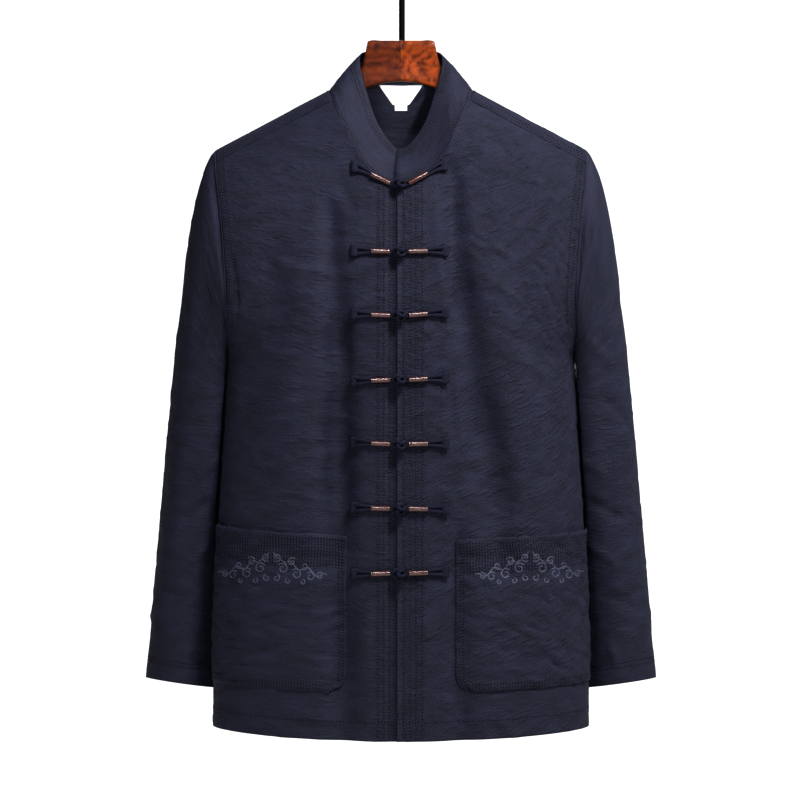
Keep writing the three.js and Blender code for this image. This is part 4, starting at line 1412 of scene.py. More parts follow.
class BackPanel:
    """The back, which wraps forward over the shoulders to its seams."""

    SHOULDER_ROWS = (0.0045, 0.0100)

    def __init__(self, grid: PanelGrid) -> None:
        """Makes the panel's sheet.

        Args:
            grid: how finely it is divided.
        """
        inner = np.linspace(0, 1, int(SHAPE.neck_column / grid.back) + 1)[1:]
        outer = np.linspace(1, 2, int(SHAPE.side_way / grid.back) + 1)[1:]
        half = np.concatenate([inner, outer])
        self.columns = np.concatenate([-half[::-1], [0.0], half])
        low = grid.rows(grid.back_row)
        self.rows = np.concatenate([low[low <= 1], np.linspace(1, 2, grid.back_top_rows)[1:]])
        column, row = np.meshgrid(self.columns, self.rows)
        side = np.where(column < 0, -1.0, 1.0)
        points = SHAPE.points(Face.BACK, side, np.abs(column), row)
        points[..., 1] += np.where((np.abs(column) > 1.999) & (row <= 1), CLOTH.seam / 8, 0)
        base = Sheet(points, -1, flat_uv=SHAPE.flat_place(Face.BACK, side, np.abs(column), points))
        along, z = SHAPE.along(np.abs(column)) * side, base.points[..., 2]
        height = crease_height(along, z, BACK_CREASES)
        near_top = smooth((2 - row) / 0.12)
        u, v = base.flat
        height += crinkle(u, v, count=1250, seed=21, tilt=4, spread=16) * lerp(0.4, 1.0, near_top)
        hem = z - SHAPE.hem_z
        height -= soft_ridge(hem - FrontPanel.HEM_ROW, **FrontPanel.HEM_GROOVE) * (row < 1)
        self.sheet = base.raised(height * near_top)
        shoulder = sewn_band(self.sheet.distance(Edge.TOP), (0, *self.SHOULDER_ROWS)) * (np.abs(column) > 1)
        sides = np.minimum(self.sheet.distance(Edge.START), self.sheet.distance(Edge.END))
        armhole = sewn_band(sides, (0, *FrontPanel.ARMHOLE_ROWS)) * (row > 1)
        hem = 0.5 * sewn_band(self.sheet.distance(Edge.FOOT), [FrontPanel.HEM_ROW])
        self.sheet.sewn = np.maximum.reduce([shoulder, armhole, hem])

    def build(self, finish: Finishes) -> None:
        """Makes the panel's mesh and its stitches.

        Args:
            finish: the materials.
        """
        panel = cloth_wall("back", self.sheet, 0, -CLOTH.wall, finish.cloth)
        stitches = self.stitches().build("back_stitches", finish)

    def stitches(self) -> Stitching:
        """The hem, the rows above the shoulder seams and the rows beside the armholes.

        Returns:
            The stitches.
        """
        sewing = Stitching(Stitch())
        last = len(self.columns) - 1
        top = len(self.rows) - 2
        sewing.add_line(*self.sheet.inset_line(Edge.FOOT, FrontPanel.HEM_ROW, 2, last - 2, 300))
        first = np.searchsorted(self.columns, 1.03)
        for inset in self.SHOULDER_ROWS:
            sewing.add_line(*self.sheet.inset_line(Edge.TOP, inset, first, last - 1, 90))
            sewing.add_line(*self.sheet.inset_line(Edge.TOP, inset, last - first, 1, 90))
        start = np.searchsorted(self.rows, FrontPanel.ARMHOLE_START)
        for inset in FrontPanel.ARMHOLE_ROWS:
            for edge in (Edge.START, Edge.END):
                sewing.add_line(*self.sheet.inset_line(edge, inset, start, top, 150))
        return sewing


class Sleeve:
    """A sleeve from the armhole over the shoulder into a hanging tube."""

    TOP_Z = -0.504
    CUFF_Z = -0.8265
    CUFF_ROWS = (0.019, 0.024)
    LEAVE = {"out": 0.85, "face": 0.25, "down": 0.25, "ends": 0.45}
    PULL = {"foot": 0.10, "top": 0.13, "tube": 0.36}
    SLANT = {"across": 0.142, "back": -0.07}
    TUCK = {"row": 3.5, "rows": 3.0, "high": 0.0035, "z": -0.215}
    CAP_ROWS = 66
    TUBE_ROWS = 126

    def __init__(self, side: Side) -> None:
        """Makes the sleeve's sheet on the wearer's left and mirrors it for the right.

        Args:
            side: the wearer's side.
        """
        self.side = side
        self.section = {name: SLEEVE.curve(name) for name in ("x", "y", "wide", "deep")}
        loop = self.armhole()
        count = len(loop)
        lengths = np.linalg.norm(np.roll(loop, -1, axis=0) - loop, axis=1)
        angle = 2 * math.pi * (np.cumsum(lengths) - lengths) / lengths.sum()
        angle = np.broadcast_to(angle, (1, count))
        cap = np.linspace(0, 1, self.CAP_ROWS)[:-1, None]
        tube = np.linspace(0, 1, self.TUBE_ROWS)[:, None]
        hanging = self.tube_points(angle, lerp(self.TOP_Z, self.CUFF_Z, tube))
        rows = [self.cap_points(loop, angle, cap), hanging]
        points = np.concatenate([np.broadcast_to(r, (r.shape[0], count, 3)) for r in rows])
        degrees = np.degrees(np.broadcast_to(angle, points.shape[:2]))
        z = points[..., 2]
        turn = np.radians(degrees)
        outward = np.stack([-np.cos(turn), -np.sin(turn), np.zeros_like(z)], axis=-1)
        leaving = smooth(np.arange(len(points)) / 4.0)[:, None]
        tuck = soft_ridge(np.arange(len(points)) - self.TUCK["row"], self.TUCK["rows"], self.TUCK["high"])
        in_front = smooth(np.sin(turn) / 0.5) * smooth((self.TUCK["z"] - z) / 0.03)
        height = fold_height(degrees, z, SLEEVE_FOLDS) - tuck[:, None] * in_front
        points = points + outward * (height * leaving)[..., None]
        points = self.clear_of_body(points)
        sheet = Sheet(points, -1, ring=True)
        u, v = sheet.flat
        mirror = side.value
        shift = np.array([-6 * mirror, 0, 5 * mirror, 0, 0, 0])
        small = sleeve_crease_height(degrees, z, np.array(SLEEVE_CREASES) + shift)
        fine = crinkle(u, v, count=900, seed=31 + side.value, tilt=-22 * mirror, spread=20)
        sewn = 1 - 0.7 * smooth((self.CUFF_Z + 0.03 - z) / 0.012)
        sheet = sheet.raised((small + fine) * leaving * sewn)
        points = self.clear_of_body(sheet.points)
        points[..., 0] *= side.value
        self.sheet = Sheet(points, -side.value, ring=True)
        self.sheet.sewn = 0.7 * sewn_band(self.sheet.distance(Edge.TOP), self.CUFF_ROWS)

    def armhole(self) -> Array:
        """The armhole's edge at +X, from the underarm up the front, over the shoulder and down the back.

        Returns:
            The edge's points.
        """
        front_rows = np.linspace(1, 2, 52)
        back_rows = np.linspace(2, 1, 66)[1:-1]
        front = SHAPE.points(Face.FRONT, 1.0, np.full_like(front_rows, 2.0), front_rows)
        back = SHAPE.points(Face.BACK, 1.0, np.full_like(back_rows, 2.0), back_rows)
        front[0, 1] = 0
        return np.concatenate([front, back])

    def tube_points(self, angle: Array, z: Array) -> Array:
        """Points of the hanging tube, at angles from the side against the body, round by the front.

        Args:
            angle: the angles.
            z: the heights.

        Returns:
            The points.
        """
        out = -self.section["wide"](z) * np.cos(angle)
        behind = -self.section["deep"](z) * np.sin(angle)
        lower = np.clip((self.TOP_Z - z) / (self.TOP_Z - self.CUFF_Z), 0, 1)
        rise = lower * (self.SLANT["across"] * out + self.SLANT["back"] * behind)
        return np.stack([self.section["x"](z) + out, self.section["y"](z) + behind, z + rise], axis=-1)

    def cap_points(self, loop: Array, angle: Array, share: Array) -> Array:
        """Points between the armhole and the tube, along smooth curves.

        Args:
            loop: the armhole's points.
            angle: the angle of each.
            share: how far down each row lies, from 0 to 1.

        Returns:
            The points.
        """
        start = loop[None] + np.array([CLOTH.seam, 0, 0])
        top = np.full_like(angle, self.TOP_Z)
        end = self.tube_points(angle, top)
        way = np.linalg.norm(end - start, axis=-1, keepdims=True)
        leave = np.stack(
            [
                np.full_like(angle, self.LEAVE["out"]),
                -self.LEAVE["face"] * np.sin(angle),
                -self.LEAVE["down"] - self.LEAVE["ends"] * np.cos(angle) ** 2,
            ],
            axis=-1,
        )
        fall = unit(end - self.tube_points(angle, top - 0.001))
        pull = lerp(self.PULL["foot"], self.PULL["top"], (1 - np.cos(angle)) / 2)[..., None]
        first = start + unit(leave) * way * pull
        second = end + fall * way * self.PULL["tube"]
        t = share[..., None]
        return (1 - t) ** 3 * start + 3 * t * (1 - t) ** 2 * first + 3 * t * t * (1 - t) * second + t**3 * end

    def clear_of_body(self, points: Array) -> Array:
        """Moves points out of the body's side, so that the sleeve hangs just clear of it.

        Args:
            points: the sleeve's points.

        Returns:
            The moved points.
        """
        gap = 0.003
        x, y, z = np.moveaxis(points, -1, 0)
        depth = np.where(y < 0, SHAPE.depth[Face.FRONT](z), SHAPE.depth[Face.BACK](z)) + gap
        share = np.maximum(0, 1 - (np.abs(y) / depth) ** SHAPE.squareness) ** (1 / SHAPE.squareness)
        side = SHAPE.half(z) * share + gap
        moved = np.maximum(x, lerp(x, side, smooth((SHAPE.underarm_z - z) / 0.012)))
        inside = (z < SHAPE.underarm_z) & (np.abs(y) < depth)
        return np.stack([np.where(inside, moved, x), y, z], axis=-1)

    def build(self, finish: Finishes) -> None:
        """Makes the sleeve's mesh and its stitches.

        Args:
            finish: the materials.
        """
        name = f"sleeve_{self.side.word}"
        sleeve = cloth_wall(name, self.sheet, 0, -CLOTH.wall, finish.cloth)
        sewing = Stitching(Stitch())
        for inset in self.CUFF_ROWS:
            sewing.add_line(*self.sheet.inset_line(Edge.TOP, inset, 0, self.sheet.points.shape[1], 400))
        stitches = sewing.build(f"{name}_stitches", finish)


def sleeve_crease_height(degrees: Array, z: Array, creases: Sequence[Sequence[float]]) -> Array:
    """The height of a sleeve's small creases, with degrees turned into metres round it."""
    metres = 0.00085
    return crease_height(degrees * metres, z, np.array(creases) * (metres, 1, metres, 1, metres, 1))


class Collar:
    """The stand collar, whose left end laps over the right one."""

    FOOT = -0.0004
    CROWN = 0.0013
    REACH = 0.993
    MIDDLE_Y = 0.005
    LAP = {Side.LEFT: 0.008, Side.RIGHT: 0.006}
    TOP_ROWS = (0.0065, 0.0115)
    FOOT_ROWS = (0.004,)
    GROOVE = {"wide": 0.0012, "high": 0.00022}
    MESH_ROWS = 30
    QUARTER_COLUMNS = 62

    def __init__(self) -> None:
        """Makes the collar's sheet."""
        self.top = {name: COLLAR_TOP.curve(name) for name in ("x", "y", "z")}
        halves = [self.stations(side) for side in (Side.RIGHT, Side.LEFT)]
        foot, top, under = (np.concatenate([halves[0][i][::-1][:-1], halves[1][i]]) for i in range(3))
        share = np.linspace(0, 1, self.MESH_ROWS)[:, None, None]
        rise = top - foot
        along = unit(rise)
        out = unit(foot * (1, 1, 0) - (0, self.MIDDLE_Y, 0))
        out = unit(out - along * np.sum(out * along, axis=1, keepdims=True))
        crown = self.CROWN * 4 * share * (1 - share) - smooth(share / 0.1) * under[None, :, None]
        points = foot + along * self.FOOT + rise * share * self.REACH + out * crown
        base = Sheet(points, -1)
        u, v = base.flat
        edge = smooth(np.minimum(share[..., 0], 1 - share[..., 0]) / 0.12)
        edge = edge * (1 - 0.8 * smooth(under / CLOTH.wall))
        height = 0.7 * crinkle(u, v, count=130, seed=41, tilt=14, spread=24) * edge
        for inset in self.TOP_ROWS:
            height -= soft_ridge(v[-1:] - v - inset, **self.GROOVE)
        self.sheet = base.raised(height)
        top = sewn_band(self.sheet.distance(Edge.TOP), self.TOP_ROWS)
        self.sheet.sewn = np.maximum(top, sewn_band(self.sheet.distance(Edge.FOOT), (0, *self.FOOT_ROWS)))

    def stations(self, side: Side) -> tuple[Array, Array, Array]:
        """Foot and top of the collar round one side, and how far it lies under the other end.

        Args:
            side: the wearer's side.

        Returns:
            Points of the neckline from the centre back to past the centre front, the top edge's points, and
            how far each is drawn in.
        """
        back_columns = np.linspace(0, 1, self.QUARTER_COLUMNS)
        lap = -self.LAP[side] / SHAPE.neck_column
        front_columns = np.append(np.linspace(1, 0, self.QUARTER_COLUMNS)[1:], lap)
        top_row = np.full(1, 2.0)
        back = [SHAPE.points(Face.BACK, side.value, np.array([c]), top_row)[0] for c in back_columns]
        front = [SHAPE.points(Face.FRONT, side.value, np.array([c]), top_row)[0] for c in front_columns]
        foot = np.array(back + front)
        gone = way_along(foot)
        turn = gone / gone[-2]
        mirrored = np.where(turn > 1, 2 - turn, turn)
        sign = np.where(turn > 1, -side.value, side.value)
        x, y, z = (self.top[name](mirrored) for name in "xyz")
        top = np.stack([x * sign, y, z], axis=1)
        drawn_in = CLOTH.wall + 2 * CLOTH.seam if side is Side.RIGHT else 0.0
        under = drawn_in * smooth((turn - 0.87) / 0.07)
        return foot, top, under

    def build(self, finish: Finishes) -> None:
        """Makes the collar's mesh and its stitches.

        Args:
            finish: the materials.
        """
        collar = cloth_wall("collar", self.sheet, 0, -CLOTH.wall, finish.cloth)
        sewing = Stitching(Stitch())
        last = self.sheet.points.shape[1] - 2
        for inset in self.FOOT_ROWS:
            sewing.add_line(*self.sheet.inset_line(Edge.FOOT, inset, 1, last, 400))
        for inset in self.TOP_ROWS:
            sewing.add_line(*self.sheet.inset_line(Edge.TOP, inset, 1, last, 400))
        stitches = sewing.build("collar_stitches", finish)


class Pocket:
    """A patch pocket that reaches the side seam, with its stitched band and a raised scroll."""

    INNER = 0.060
    TOPS = {Side.RIGHT: (-0.6535, -0.6465), Side.LEFT: (-0.6575, -0.6520)}
    FOOT_ROW = 0.125
    CORNER = 0.020
    BAND = (0.005, 0.036)
    BAND_ROWS = 10
    EDGE_ROWS = (0.004, 0.0085)
    MOTIF_X = 0.1425
    MOTIF_Z = -0.690
    GROOVE = {"wide": 0.0011, "high": 0.00022}
    GAPE = 0.0016
    PUFF = 0.0008
    MESH_ROWS = 66
    OUTER_COLUMNS = 74

    def __init__(self, front: FrontPanel) -> None:
        """Makes the pocket's sheet from the front's own face.

        Args:
            front: the front that it is sewn on.
        """
        self.front = front
        share = np.linspace(0, 1, self.MESH_ROWS)
        high = SHAPE.underarm_z - SHAPE.hem_z
        top_rows = (np.array(self.TOPS[front.side]) - SHAPE.hem_z) / high
        up = share * (top_rows.mean() - self.FOOT_ROW) * high
        cut = self.CORNER - np.sqrt(np.maximum(0, self.CORNER**2 - np.maximum(0, self.CORNER - up) ** 2))
        start = (self.INNER + cut) / SHAPE.neck_column
        column = start[:, None] + (1 - start)[:, None] * np.linspace(0, 1, 8)[None, :-1]
        outer = np.tile(np.linspace(1, 2, self.OUTER_COLUMNS), (len(share), 1))
        column = np.concatenate([column, outer], axis=1)
        top_row = lerp(*top_rows, np.clip(column - 0.8, 0, 1.2) / 1.2)
        row = lerp(self.FOOT_ROW, top_row, share[:, None])
        base = front.surface(column, row)
        self.up = np.broadcast_to(up[:, None], column.shape)
        along = SHAPE.along(column)
        inside = smooth((along - self.INNER) / 0.02)
        gape = self.GAPE * smooth((self.up - up[-1] + 0.03) / 0.03) * inside * smooth((2 - column) / 0.2)
        puff = self.PUFF * inside * smooth(self.up / 0.03)
        band = up[-1] - self.up
        height = puff + gape
        for place in np.linspace(*self.BAND, self.BAND_ROWS):
            height = height - soft_ridge(band - place, **self.GROOVE)
        self.sheet = base.raised(height)
        border = np.minimum(self.sheet.distance(Edge.FOOT), self.sheet.distance(Edge.START))
        top = sewn_band(self.sheet.distance(Edge.TOP), self.BAND)
        self.sheet.sewn = np.maximum(top, sewn_band(border, self.EDGE_ROWS))

    def build(self, finish: Finishes) -> None:
        """Makes the pocket's mesh, its stitches and its scroll.

        Args:
            finish: the materials.
        """
        side = self.front.side
        name = f"pocket_{side.word}"
        near = CLOTH.lay + CLOTH.patch
        cloth = finish.slant if side is Side.LEFT else finish.cloth
        pocket = cloth_wall(name, self.sheet, near, CLOTH.lay, cloth)
        outer = self.sheet.raised(near)
        tree = tree_of(outer)
        stitches = self.stitches(outer).build(f"{name}_stitches", finish)
        scroll = Scroll().build(f"{name}_scroll", tree, self.MOTIF_X * side.value, self.MOTIF_Z, finish.silk)

    def stitches(self, outer: Sheet) -> Stitching:
        """The band's dense rows, and two rows along the inner and lower edges.

        Args:
            outer: the pocket's outer face.

        Returns:
            The stitches.
        """
        sewing = Stitching(Stitch())
        rows, columns = outer.points.shape[:2]
        for inset in np.linspace(*self.BAND, self.BAND_ROWS):
            sewing.add_line(*outer.inset_line(Edge.TOP, inset, 1, columns - 2, 120))
        corner = int(self.CORNER / 0.0027)
        for inset in self.EDGE_ROWS:
            down = outer.inset_line(Edge.START, inset, rows - 2, corner, 90)
            round_corner = outer.inset_line(Edge.START, inset, corner, 3, 20)
            right = outer.inset_line(Edge.FOOT, inset, 2, columns - 2, 120)
            sewing.add_line(*(np.concatenate(pair) for pair in zip(down, round_corner)))
            sewing.add_line(*right)
        return sewing


@dataclass
class Scroll:
    """A raised cloud scroll of satin-stitched lines round a middle peak, in a traditional manner."""

    half_wide: float = 0.062
    half_high: float = 0.020
    line: float = 0.0008
    rib: float = 0.0009

    def curls(self) -> list[Array]:
        """The scroll's lines as places from its middle, for one half, as each is mirrored.

        Returns:
            The lines.
        """
        lines = []
        for cx, cz, radius, start, turns, hand in (
            (0.0060, 0.0130, 0.0050, 215, 1.3, 1),
            (0.0125, 0.0010, 0.0062, 160, 1.4, -1),
            (0.0225, 0.0085, 0.0050, 20, 1.3, 1),
            (0.0275, -0.0050, 0.0060, 150, 1.4, -1),
            (0.0365, 0.0035, 0.0042, 200, 1.2, 1),
            (0.0430, -0.0075, 0.0052, 150, 1.3, -1),
            (0.0535, -0.0070, 0.0042, 40, 1.2, 1),
            (0.0055, -0.0095, 0.0040, 90, 1.2, -1),
            (0.0185, -0.0125, 0.0034, 100, 1.1, 1),
            (0.0345, -0.0135, 0.0030, 90, 1.1, -1),
        ):
            t = np.linspace(0, 1, 34)
            turn = np.radians(start) + hand * turns * 2 * math.pi * t
            size = radius * (1 - 0.75 * t)
            lines.append(np.stack([cx + size * np.cos(turn), cz + size * np.sin(turn)], axis=1))
        t = np.linspace(0, 1, 60)
        lines.append(np.stack([0.002 + 0.016 * t, self.half_high - 0.014 * t**0.6], axis=1))
        wave = -0.0085 + 0.016 * (1 - t) + 0.0030 * np.sin(t * 15)
        lines.append(np.stack([0.016 + (self.half_wide - 0.016) * t, wave], axis=1))
        return lines

    def build(
        self, name: str, tree: BVHTree, x: float, z: float, material: bpy.types.Material
    ) -> bpy.types.Object:
        """Lays the lines on the pocket as flattened ribbed cords.

        Args:
            name: the object's name.
            tree: the pocket's outer face.
            x: the scroll's middle.
            z: its height.
            material: the thread.

        Returns:
            The object.
        """
        pieces = []
        for line in self.curls():
            for hand in (1, -1):
                places = line * (hand, 1)
                fine = np.linspace(0, len(places) - 1, 4 * len(places))
                px = np.interp(fine, np.arange(len(places)), places[:, 0])
                pz = np.interp(fine, np.arange(len(places)), places[:, 1])
                hits = [tree.ray_cast(Vector((x + a, -1, z + b)), Vector((0, 1, 0))) for a, b in zip(px, pz)]
                kept = [(hit[0], hit[1] if hit[1].y < 0 else -hit[1]) for hit in hits if hit[0] is not None]
                if len(kept) < 4:
                    continue
                path = np.array([point for point, _ in kept])
                out = np.array([normal for _, normal in kept])
                gone = way_along(path)
                size = self.line * (1 + 0.14 * np.sin(2 * math.pi * gone / self.rib))
                size = size * np.clip(np.minimum(gone, gone[-1] - gone) / 0.003, 0.25, 1)
                pieces.append(sweep(path, size, 6, out))
        return new_mesh(name, *join_meshes(pieces), material, "cloth")


@dataclass
class Fastenings:
    """The seven fastenings: a knot in the middle, and on each side a wound tube and a strap of two cords."""

    middle: float = -0.0018
    first: float = -0.341
    pitch: float = 0.0705
    neck_z: float = -0.2655
    knot: float = 0.0072
    knot_cord: float = 0.0016
    tube: float = 0.0029
    windings: int = 32
    tube_start: float = 0.0105
    tube_end: float = 0.031
    strap_end: float = 0.054
    strap_high: float = 0.013
    strap_cord: tuple = (0.0017, 0.0026)
    box: float = 0.0085
    box_half: float = 0.0064
    # The loop at the knot, as distances from it and off the strap's line
    loop: tuple = ((0.0115, 0.0012), (0.0085, 0.0017), (0.0055, 0.0016))
    loop_cord: float = 0.0012
    tacks: tuple = (-0.0022, 0.0, 0.0022)
    rises: tuple = ((20, 22), (1, 1), (1.5, 3.5), (-1.5, 2), (2, 1), (1, -0.5), (-1, 1.5))

    def build(self, fronts: dict[Side, FrontPanel], finish: Finishes) -> None:
        """Builds all of them on the two fronts.

        Args:
            fronts: the two front panels.
            finish: the materials.
        """
        self.trees = {side: tree_of(front.sheet) for side, front in fronts.items()}
        self.finish = finish
        for number, rises in enumerate(self.rises, start=1):
            z = self.neck_z if number == 1 else self.first - self.pitch * (number - 2)
            centre = self.on_cloth(self.middle, z) - np.array([0, self.knot + CLOTH.lay, 0])
            self.build_knot(number, centre)
            for side, rise in zip((Side.RIGHT, Side.LEFT), rises):
                self.build_side(number, side, centre, rise * 0.001)

    def on_cloth(self, x: float, z: float) -> Array:
        """The place on the fronts' outer face at (x, z), or at its nearest cloth below that.

        Args:
            x: the place across.
            z: the height.

        Returns:
            The place.
        """
        for drop in range(60):
            for side in (Side.LEFT, Side.RIGHT):
                hit = self.trees[side].ray_cast(Vector((x, -1, z - 0.001 * drop)), Vector((0, 1, 0)))
                if hit[0] is not None and hit[0].y < 0:
                    return np.array([x, hit[0].y, z])
        raise ValueError(f"no cloth at {x}, {z}")

    def build_knot(self, number: int, centre: Array) -> None:
        """A ball of one cord that passes over and under itself, round a plain core.

        Args:
            number: the fastening's number.
            centre: the ball's middle.
        """
        s = np.linspace(0, 2 * math.pi, 240, endpoint=False)
        latitude = 1.02 * np.cos(5 * s)
        radius = self.knot - self.knot_cord + 0.0006 * np.sin(10 * s)
        longitude = 2 * s + 0.4 * number
        ball = np.stack(
            [
                radius * np.sin(latitude),
                radius * np.cos(latitude) * np.cos(longitude),
                radius * np.cos(latitude) * np.sin(longitude),
            ],
            axis=1,
        )
        tilt = np.array(Matrix.Rotation(math.radians(38), 3, "Z") @ Matrix.Rotation(math.radians(12), 3, "X"))
        mesh = sweep(ball @ tilt.T + centre, self.knot_cord, 8, closed=True)
        new_mesh(f"knot_{number}_cord", *mesh, self.finish.cord, "cord", f"knot_{number}")
        clear_selection()
        radius = self.knot - 2.2 * self.knot_cord
        bpy.ops.mesh.primitive_uv_sphere_add(segments=20, ring_count=12, radius=radius, location=centre)
        core = bpy.context.object
        core.name = f"knot_{number}_core"
        bpy.ops.object.transform_apply(location=True)
        core.data.materials.append(self.finish.cord)
        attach(core, "root")

    def build_side(self, number: int, side: Side, centre: Array, rise: float) -> None:
        """A loop of cord at the knot, the wound tube, two cords that part, and their sewn end.

        Args:
            number: the fastening's number.
            side: the side to build.
            centre: the knot's middle.
            rise: how far the strap rises towards its end.
        """

        def place(reach: float, lift: float, off: float = 0.0) -> Array:
            """A place at a distance from the knot, a lift off the cloth and off the strap's line.

            Args:
                reach: the distance.
                lift: the lift.
                off: the distance off the line.

            Returns:
                The place.
            """
            share = float(smooth((reach - self.tube_start / 2) / (self.strap_end - self.tube_start / 2)))
            x, z = self.middle + side.value * reach, centre[2] + rise * share + off
            return self.on_cloth(x, z) - np.array([0, lift, 0])

        word = f"{side.word}_{number}"
        lift = self.tube + CLOTH.lay
        ends = [place(self.tube_start, lift), place(self.tube_end, lift)]
        share = np.linspace(0, 1, 130)[:, None]
        bow = np.array([0, -0.0004, 0]) * np.sin(math.pi * share)
        path = lerp(ends[0], ends[1], share) + bow
        path[:, 1] = np.minimum(path[:, 1], max(ends[0][1], ends[1][1]))
        wound = self.tube + 0.00005 * np.sin(2 * math.pi * share[:, 0] * self.windings)
        wound[[0, -1]] *= 0.8
        tube = sweep(path, wound, 16)
        new_mesh(f"tube_{word}_wound", *tube, self.finish.copper, "copper_thread", f"tube_{word}")

        pieces = []
        for hand in (1, -1):
            t = np.linspace(0, 1, 18)
            reach = lerp(self.tube_end - 0.001, self.strap_end - 0.0015, t)
            off = hand * lerp(0.0015, self.strap_high / 2 - 0.0026, t)
            cord = np.array([place(r, 0.0019, o) for r, o in zip(reach, off)])
            pieces.append(sweep(cord, lerp(*self.strap_cord, t), 10))
            near = np.array([place(r, lift, hand * o) for r, o in self.loop])
            pieces.append(sweep(near, self.loop_cord, 8))
        middle = self.strap_end - self.box * 0.5
        across = np.linspace(-self.box_half, self.box_half, 7)
        edge = np.array([place(middle, 0.0026, off) for off in across])
        pieces.append(sweep(edge, self.box / 2, 12, np.tile([0.0, -1.0, 0.0], (7, 1))))
        new_mesh(f"strap_{word}_cords", *join_meshes(pieces), self.finish.cord, "cord", f"strap_{word}")

        sewing = Stitching(Stitch(length=0.0030, pitch=0.0034))
        for shift in self.tacks:
            reach = middle + shift
            for low, high in ((-0.0098, -0.0062), (0.0062, 0.0098)):
                line = np.array([place(reach, 0.0001, off) for off in np.linspace(low, high, 3)])
                sewing.add_line(line, np.tile([0.0, -1.0, 0.0], (3, 1)))
            across = np.array([place(reach, 0.0034, off) for off in np.linspace(-0.005, 0.005, 5)])
            sewing.add_line(across, np.tile([0.0, -1.0, 0.0], (5, 1)))
        sewing.build(f"strap_{word}_tacks", self.finish)


class Hanger:
    """The hanger's two glued halves, its hook as packed, and the bare label behind it."""

    BLOCK = 0.06
    ARM = 0.189
    SIDES = 40
    # The halves stand this far from the middle, so that they don't touch
    GLUE = 0.00001
    # The label's half width at distances down from the collar's seam
    LABEL = Table("down half", [(0.0015, 0.025), (0.0224, 0.0095), (0.023, 0.007), (0.029, 0.007)])
    # How far it stands off the back, and off the back's edge where there is no cloth behind it
    LABEL_CLEAR = 0.0008
    LABEL_BESIDE = 0.0030

    def build_half(self, side: Side, material: bpy.types.Material) -> None:
        """One half, as smooth sections along its arm.

        Args:
            side: the side to build.
            material: its finish.
        """
        curves = {name: HANGER.curve(name) for name in ("top", "foot", "thick", "round")}
        outer = np.linspace(self.BLOCK, self.ARM, 60)[1:]
        x = np.concatenate([np.linspace(self.GLUE, self.BLOCK, 60), outer])
        sides = self.SIDES
        turn = np.linspace(0, 2 * math.pi, sides, endpoint=False)
        power = curves["round"](x)[:, None]
        y = signed_power(np.cos(turn)[None], power) * curves["thick"](x)[:, None]
        up = 0.5 + 0.5 * signed_power(np.sin(turn)[None], power)
        z = lerp(curves["foot"](x)[:, None], curves["top"](x)[:, None], up)
        points = np.stack([np.broadcast_to(x[:, None] * side.value, y.shape), y, z], axis=-1)
        faces = grid_faces(len(x), sides, True, 0, side is Side.LEFT).tolist()
        ends = [tuple(range(sides)), tuple(range((len(x) - 1) * sides, len(x) * sides))[::-1]]
        faces += [end if side is Side.LEFT else end[::-1] for end in ends]
        slot = "wood_light" if side is Side.LEFT else "wood_dark"
        name = f"hanger_{side.word}"
        select(new_mesh(f"{name}_wood", points, faces, material, slot, name))
        bpy.ops.object.shade_smooth_by_angle(angle=math.radians(50))

    def build_label(self, back: BackPanel, material: bpy.types.Material) -> None:
        """A tapering label with a tab, hung from the collar's seam inside the back.

        Args:
            back: the back panel.
            material: its finish.
        """
        tree = tree_of(back.sheet.raised(-CLOTH.wall))
        centre, near = len(back.columns) // 2, 12
        edge = back.sheet.points[-1, centre - near : centre + near + 1]
        middle = edge[near]
        rows = self.LABEL.rows
        down = np.linspace(rows[0]["down"], rows[-1]["down"], 24)
        half = np.interp(down, [row["down"] for row in rows], [row["half"] for row in rows])
        points = np.zeros((len(down), 30, 3))
        for r, (fall, wide) in enumerate(zip(down, half)):
            for c, x in enumerate(np.linspace(-wide, wide, 30)):
                hit = tree.ray_cast(Vector((x, 0.0, middle[2] - fall)), Vector((0, 1, 0)))
                beside = np.interp(x, edge[:, 0], edge[:, 1]) - self.LABEL_BESIDE
                y = beside if hit[0] is None else hit[0].y - self.LABEL_CLEAR
                points[r, c] = (x, y, middle[2] - fall)
        sheet = Sheet(points[::-1], 1)
        label = cloth_wall("label", sheet, CLOTH.label, 0, material, "label")

    def build(self, back: BackPanel, finish: Finishes) -> None:
        """Builds the halves and the label, and finishes the hook.

        Args:
            back: the back panel.
            finish: the materials.
        """
        self.build_half(Side.LEFT, finish.wood_light)
        self.build_half(Side.RIGHT, finish.wood_dark)
        self.build_label(back, finish.label)
        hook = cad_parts["hook"]
        hook.data.materials.clear()
        hook.data.materials.append(finish.wire)
        select(hook)
        bpy.ops.object.shade_smooth_by_angle(angle=math.radians(40))


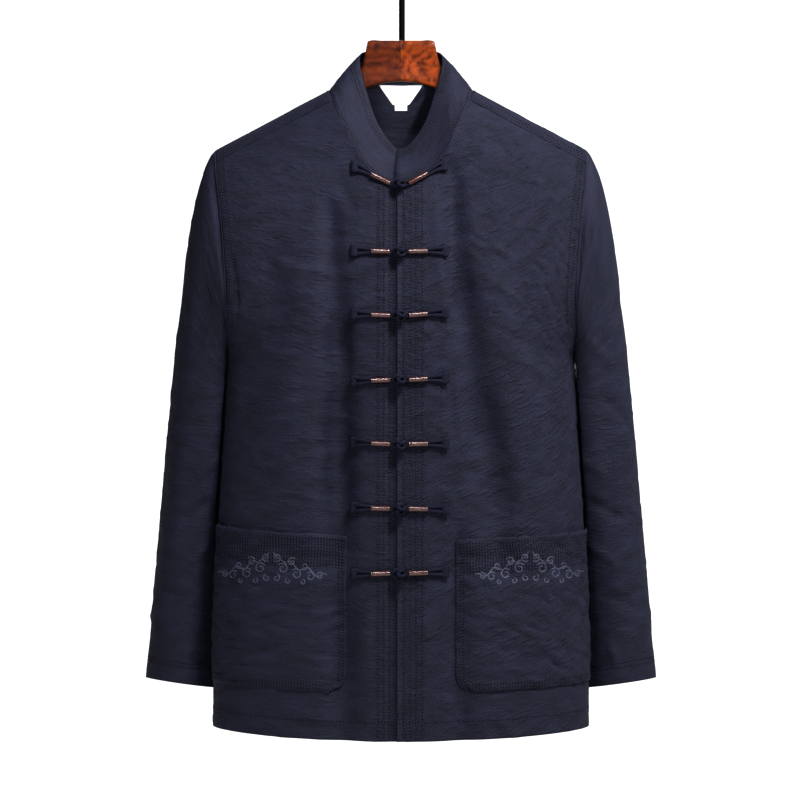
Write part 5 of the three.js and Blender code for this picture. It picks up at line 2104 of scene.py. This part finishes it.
@dataclass
class Studio:
    """The camera as in the photo, soft lights, a pale floor and a white surround."""

    aim: tuple = (-0.0011, 0.0, -0.504)
    distance: float = 3.2
    field: float = 0.900
    floor_z: float = -1.45
    floor_wide: float = 6.0
    surround: float = 0.17
    backdrop: float = 1.05
    samples: int = 160
    pixels: int = 800
    # Name, place, what it points at, size, power in watts and spread in degrees
    lights: tuple = (
        ("key", (0.52, -0.98, 0.86), aim, 0.35, 46, 180),
        ("side", (2.0, -0.60, 1.10), aim, 0.5, 44, 180),
        ("front", (-0.9, -2.7, -0.10), aim, 0.6, 10, 180),
        ("low", (-0.8, -2.0, -0.80), (-0.2, 0.0, -0.66), 0.5, 0.7, 50),
        ("neck", (0.20, -1.0, -0.27), (0.0, 0.03, -0.165), 0.06, 0.024, 5),
        ("back", (-0.3, 2.4, 0.1), aim, 0.7, 80, 180),
    )

    def build(self) -> None:
        """Sets up the camera, lights, floor, world and render."""
        scene = bpy.context.scene
        camera = bpy.data.cameras.new("camera")
        camera.sensor_width = 36
        camera.lens = 36 * self.distance / self.field
        camera_object = bpy.data.objects.new("camera", camera)
        camera_object.location = (self.aim[0], -self.distance, self.aim[2])
        camera_object.rotation_euler = (math.pi / 2, 0, 0)
        scene.collection.objects.link(camera_object)
        scene.camera = camera_object
        for name, place, aim, size, power, spread in self.lights:
            light = bpy.data.lights.new(name, "AREA")
            light.size = size
            light.energy = power
            light.spread = math.radians(spread)
            lamp = bpy.data.objects.new(name, light)
            lamp.location = place
            lamp.rotation_euler = (Vector(aim) - Vector(place)).to_track_quat("-Z", "Y").to_euler()
            scene.collection.objects.link(lamp)
        clear_selection()
        bpy.ops.mesh.primitive_plane_add(size=self.floor_wide, location=(0, 0, self.floor_z))
        floor = bpy.context.object
        floor.name = "floor"
        floor.data.materials.append(PlainFinish("pale floor", "#e9e8e4", 0.8).build())
        world = bpy.data.worlds.new("white surround")
        world.use_nodes = True
        tree = world.node_tree
        seen = add_node(tree, "ShaderNodeLightPath").outputs["Is Camera Ray"]
        inputs = {"Value": seen, "To Min": self.surround, "To Max": self.backdrop}
        strength = add_node(tree, "ShaderNodeMapRange", inputs).outputs[0]
        background = tree.nodes["Background"]
        background.inputs["Color"].default_value = hex_colour("#ffffff")
        tree.links.new(strength, background.inputs["Strength"])
        scene.world = world
        scene.render.engine = "CYCLES"
        scene.cycles.samples = self.samples
        scene.cycles.use_denoising = True
        scene.render.resolution_x = self.pixels
        scene.render.resolution_y = self.pixels
        scene.view_settings.view_transform = "Standard"
        scene.view_settings.look = "Medium High Contrast"


def main() -> None:
    """Builds the jacket, its hanger and the studio."""
    logging.basicConfig(level=logging.INFO, format="%(message)s")
    finish = Finishes()
    grid = PanelGrid()
    fronts = {side: FrontPanel(side, grid) for side in Side}
    back = BackPanel(grid)
    for side, front in fronts.items():
        front.build(finish)
        Pocket(front).build(finish)
        LOG.info("front and pocket %s", side.word)
    back.build(finish)
    LOG.info("back")
    for side in Side:
        Sleeve(side).build(finish)
        LOG.info("sleeve %s", side.word)
    Collar().build(finish)
    Fastenings().build(fronts, finish)
    LOG.info("collar and fastenings")
    Hanger().build(back, finish)
    Studio().build()
    meshes = [obj.data for obj in bpy.data.objects if obj.type == "MESH"]
    LOG.info("triangles in all %d", sum(len(mesh.loops) - 2 * len(mesh.polygons) for mesh in meshes))


if __name__ == "__main__":
    main()
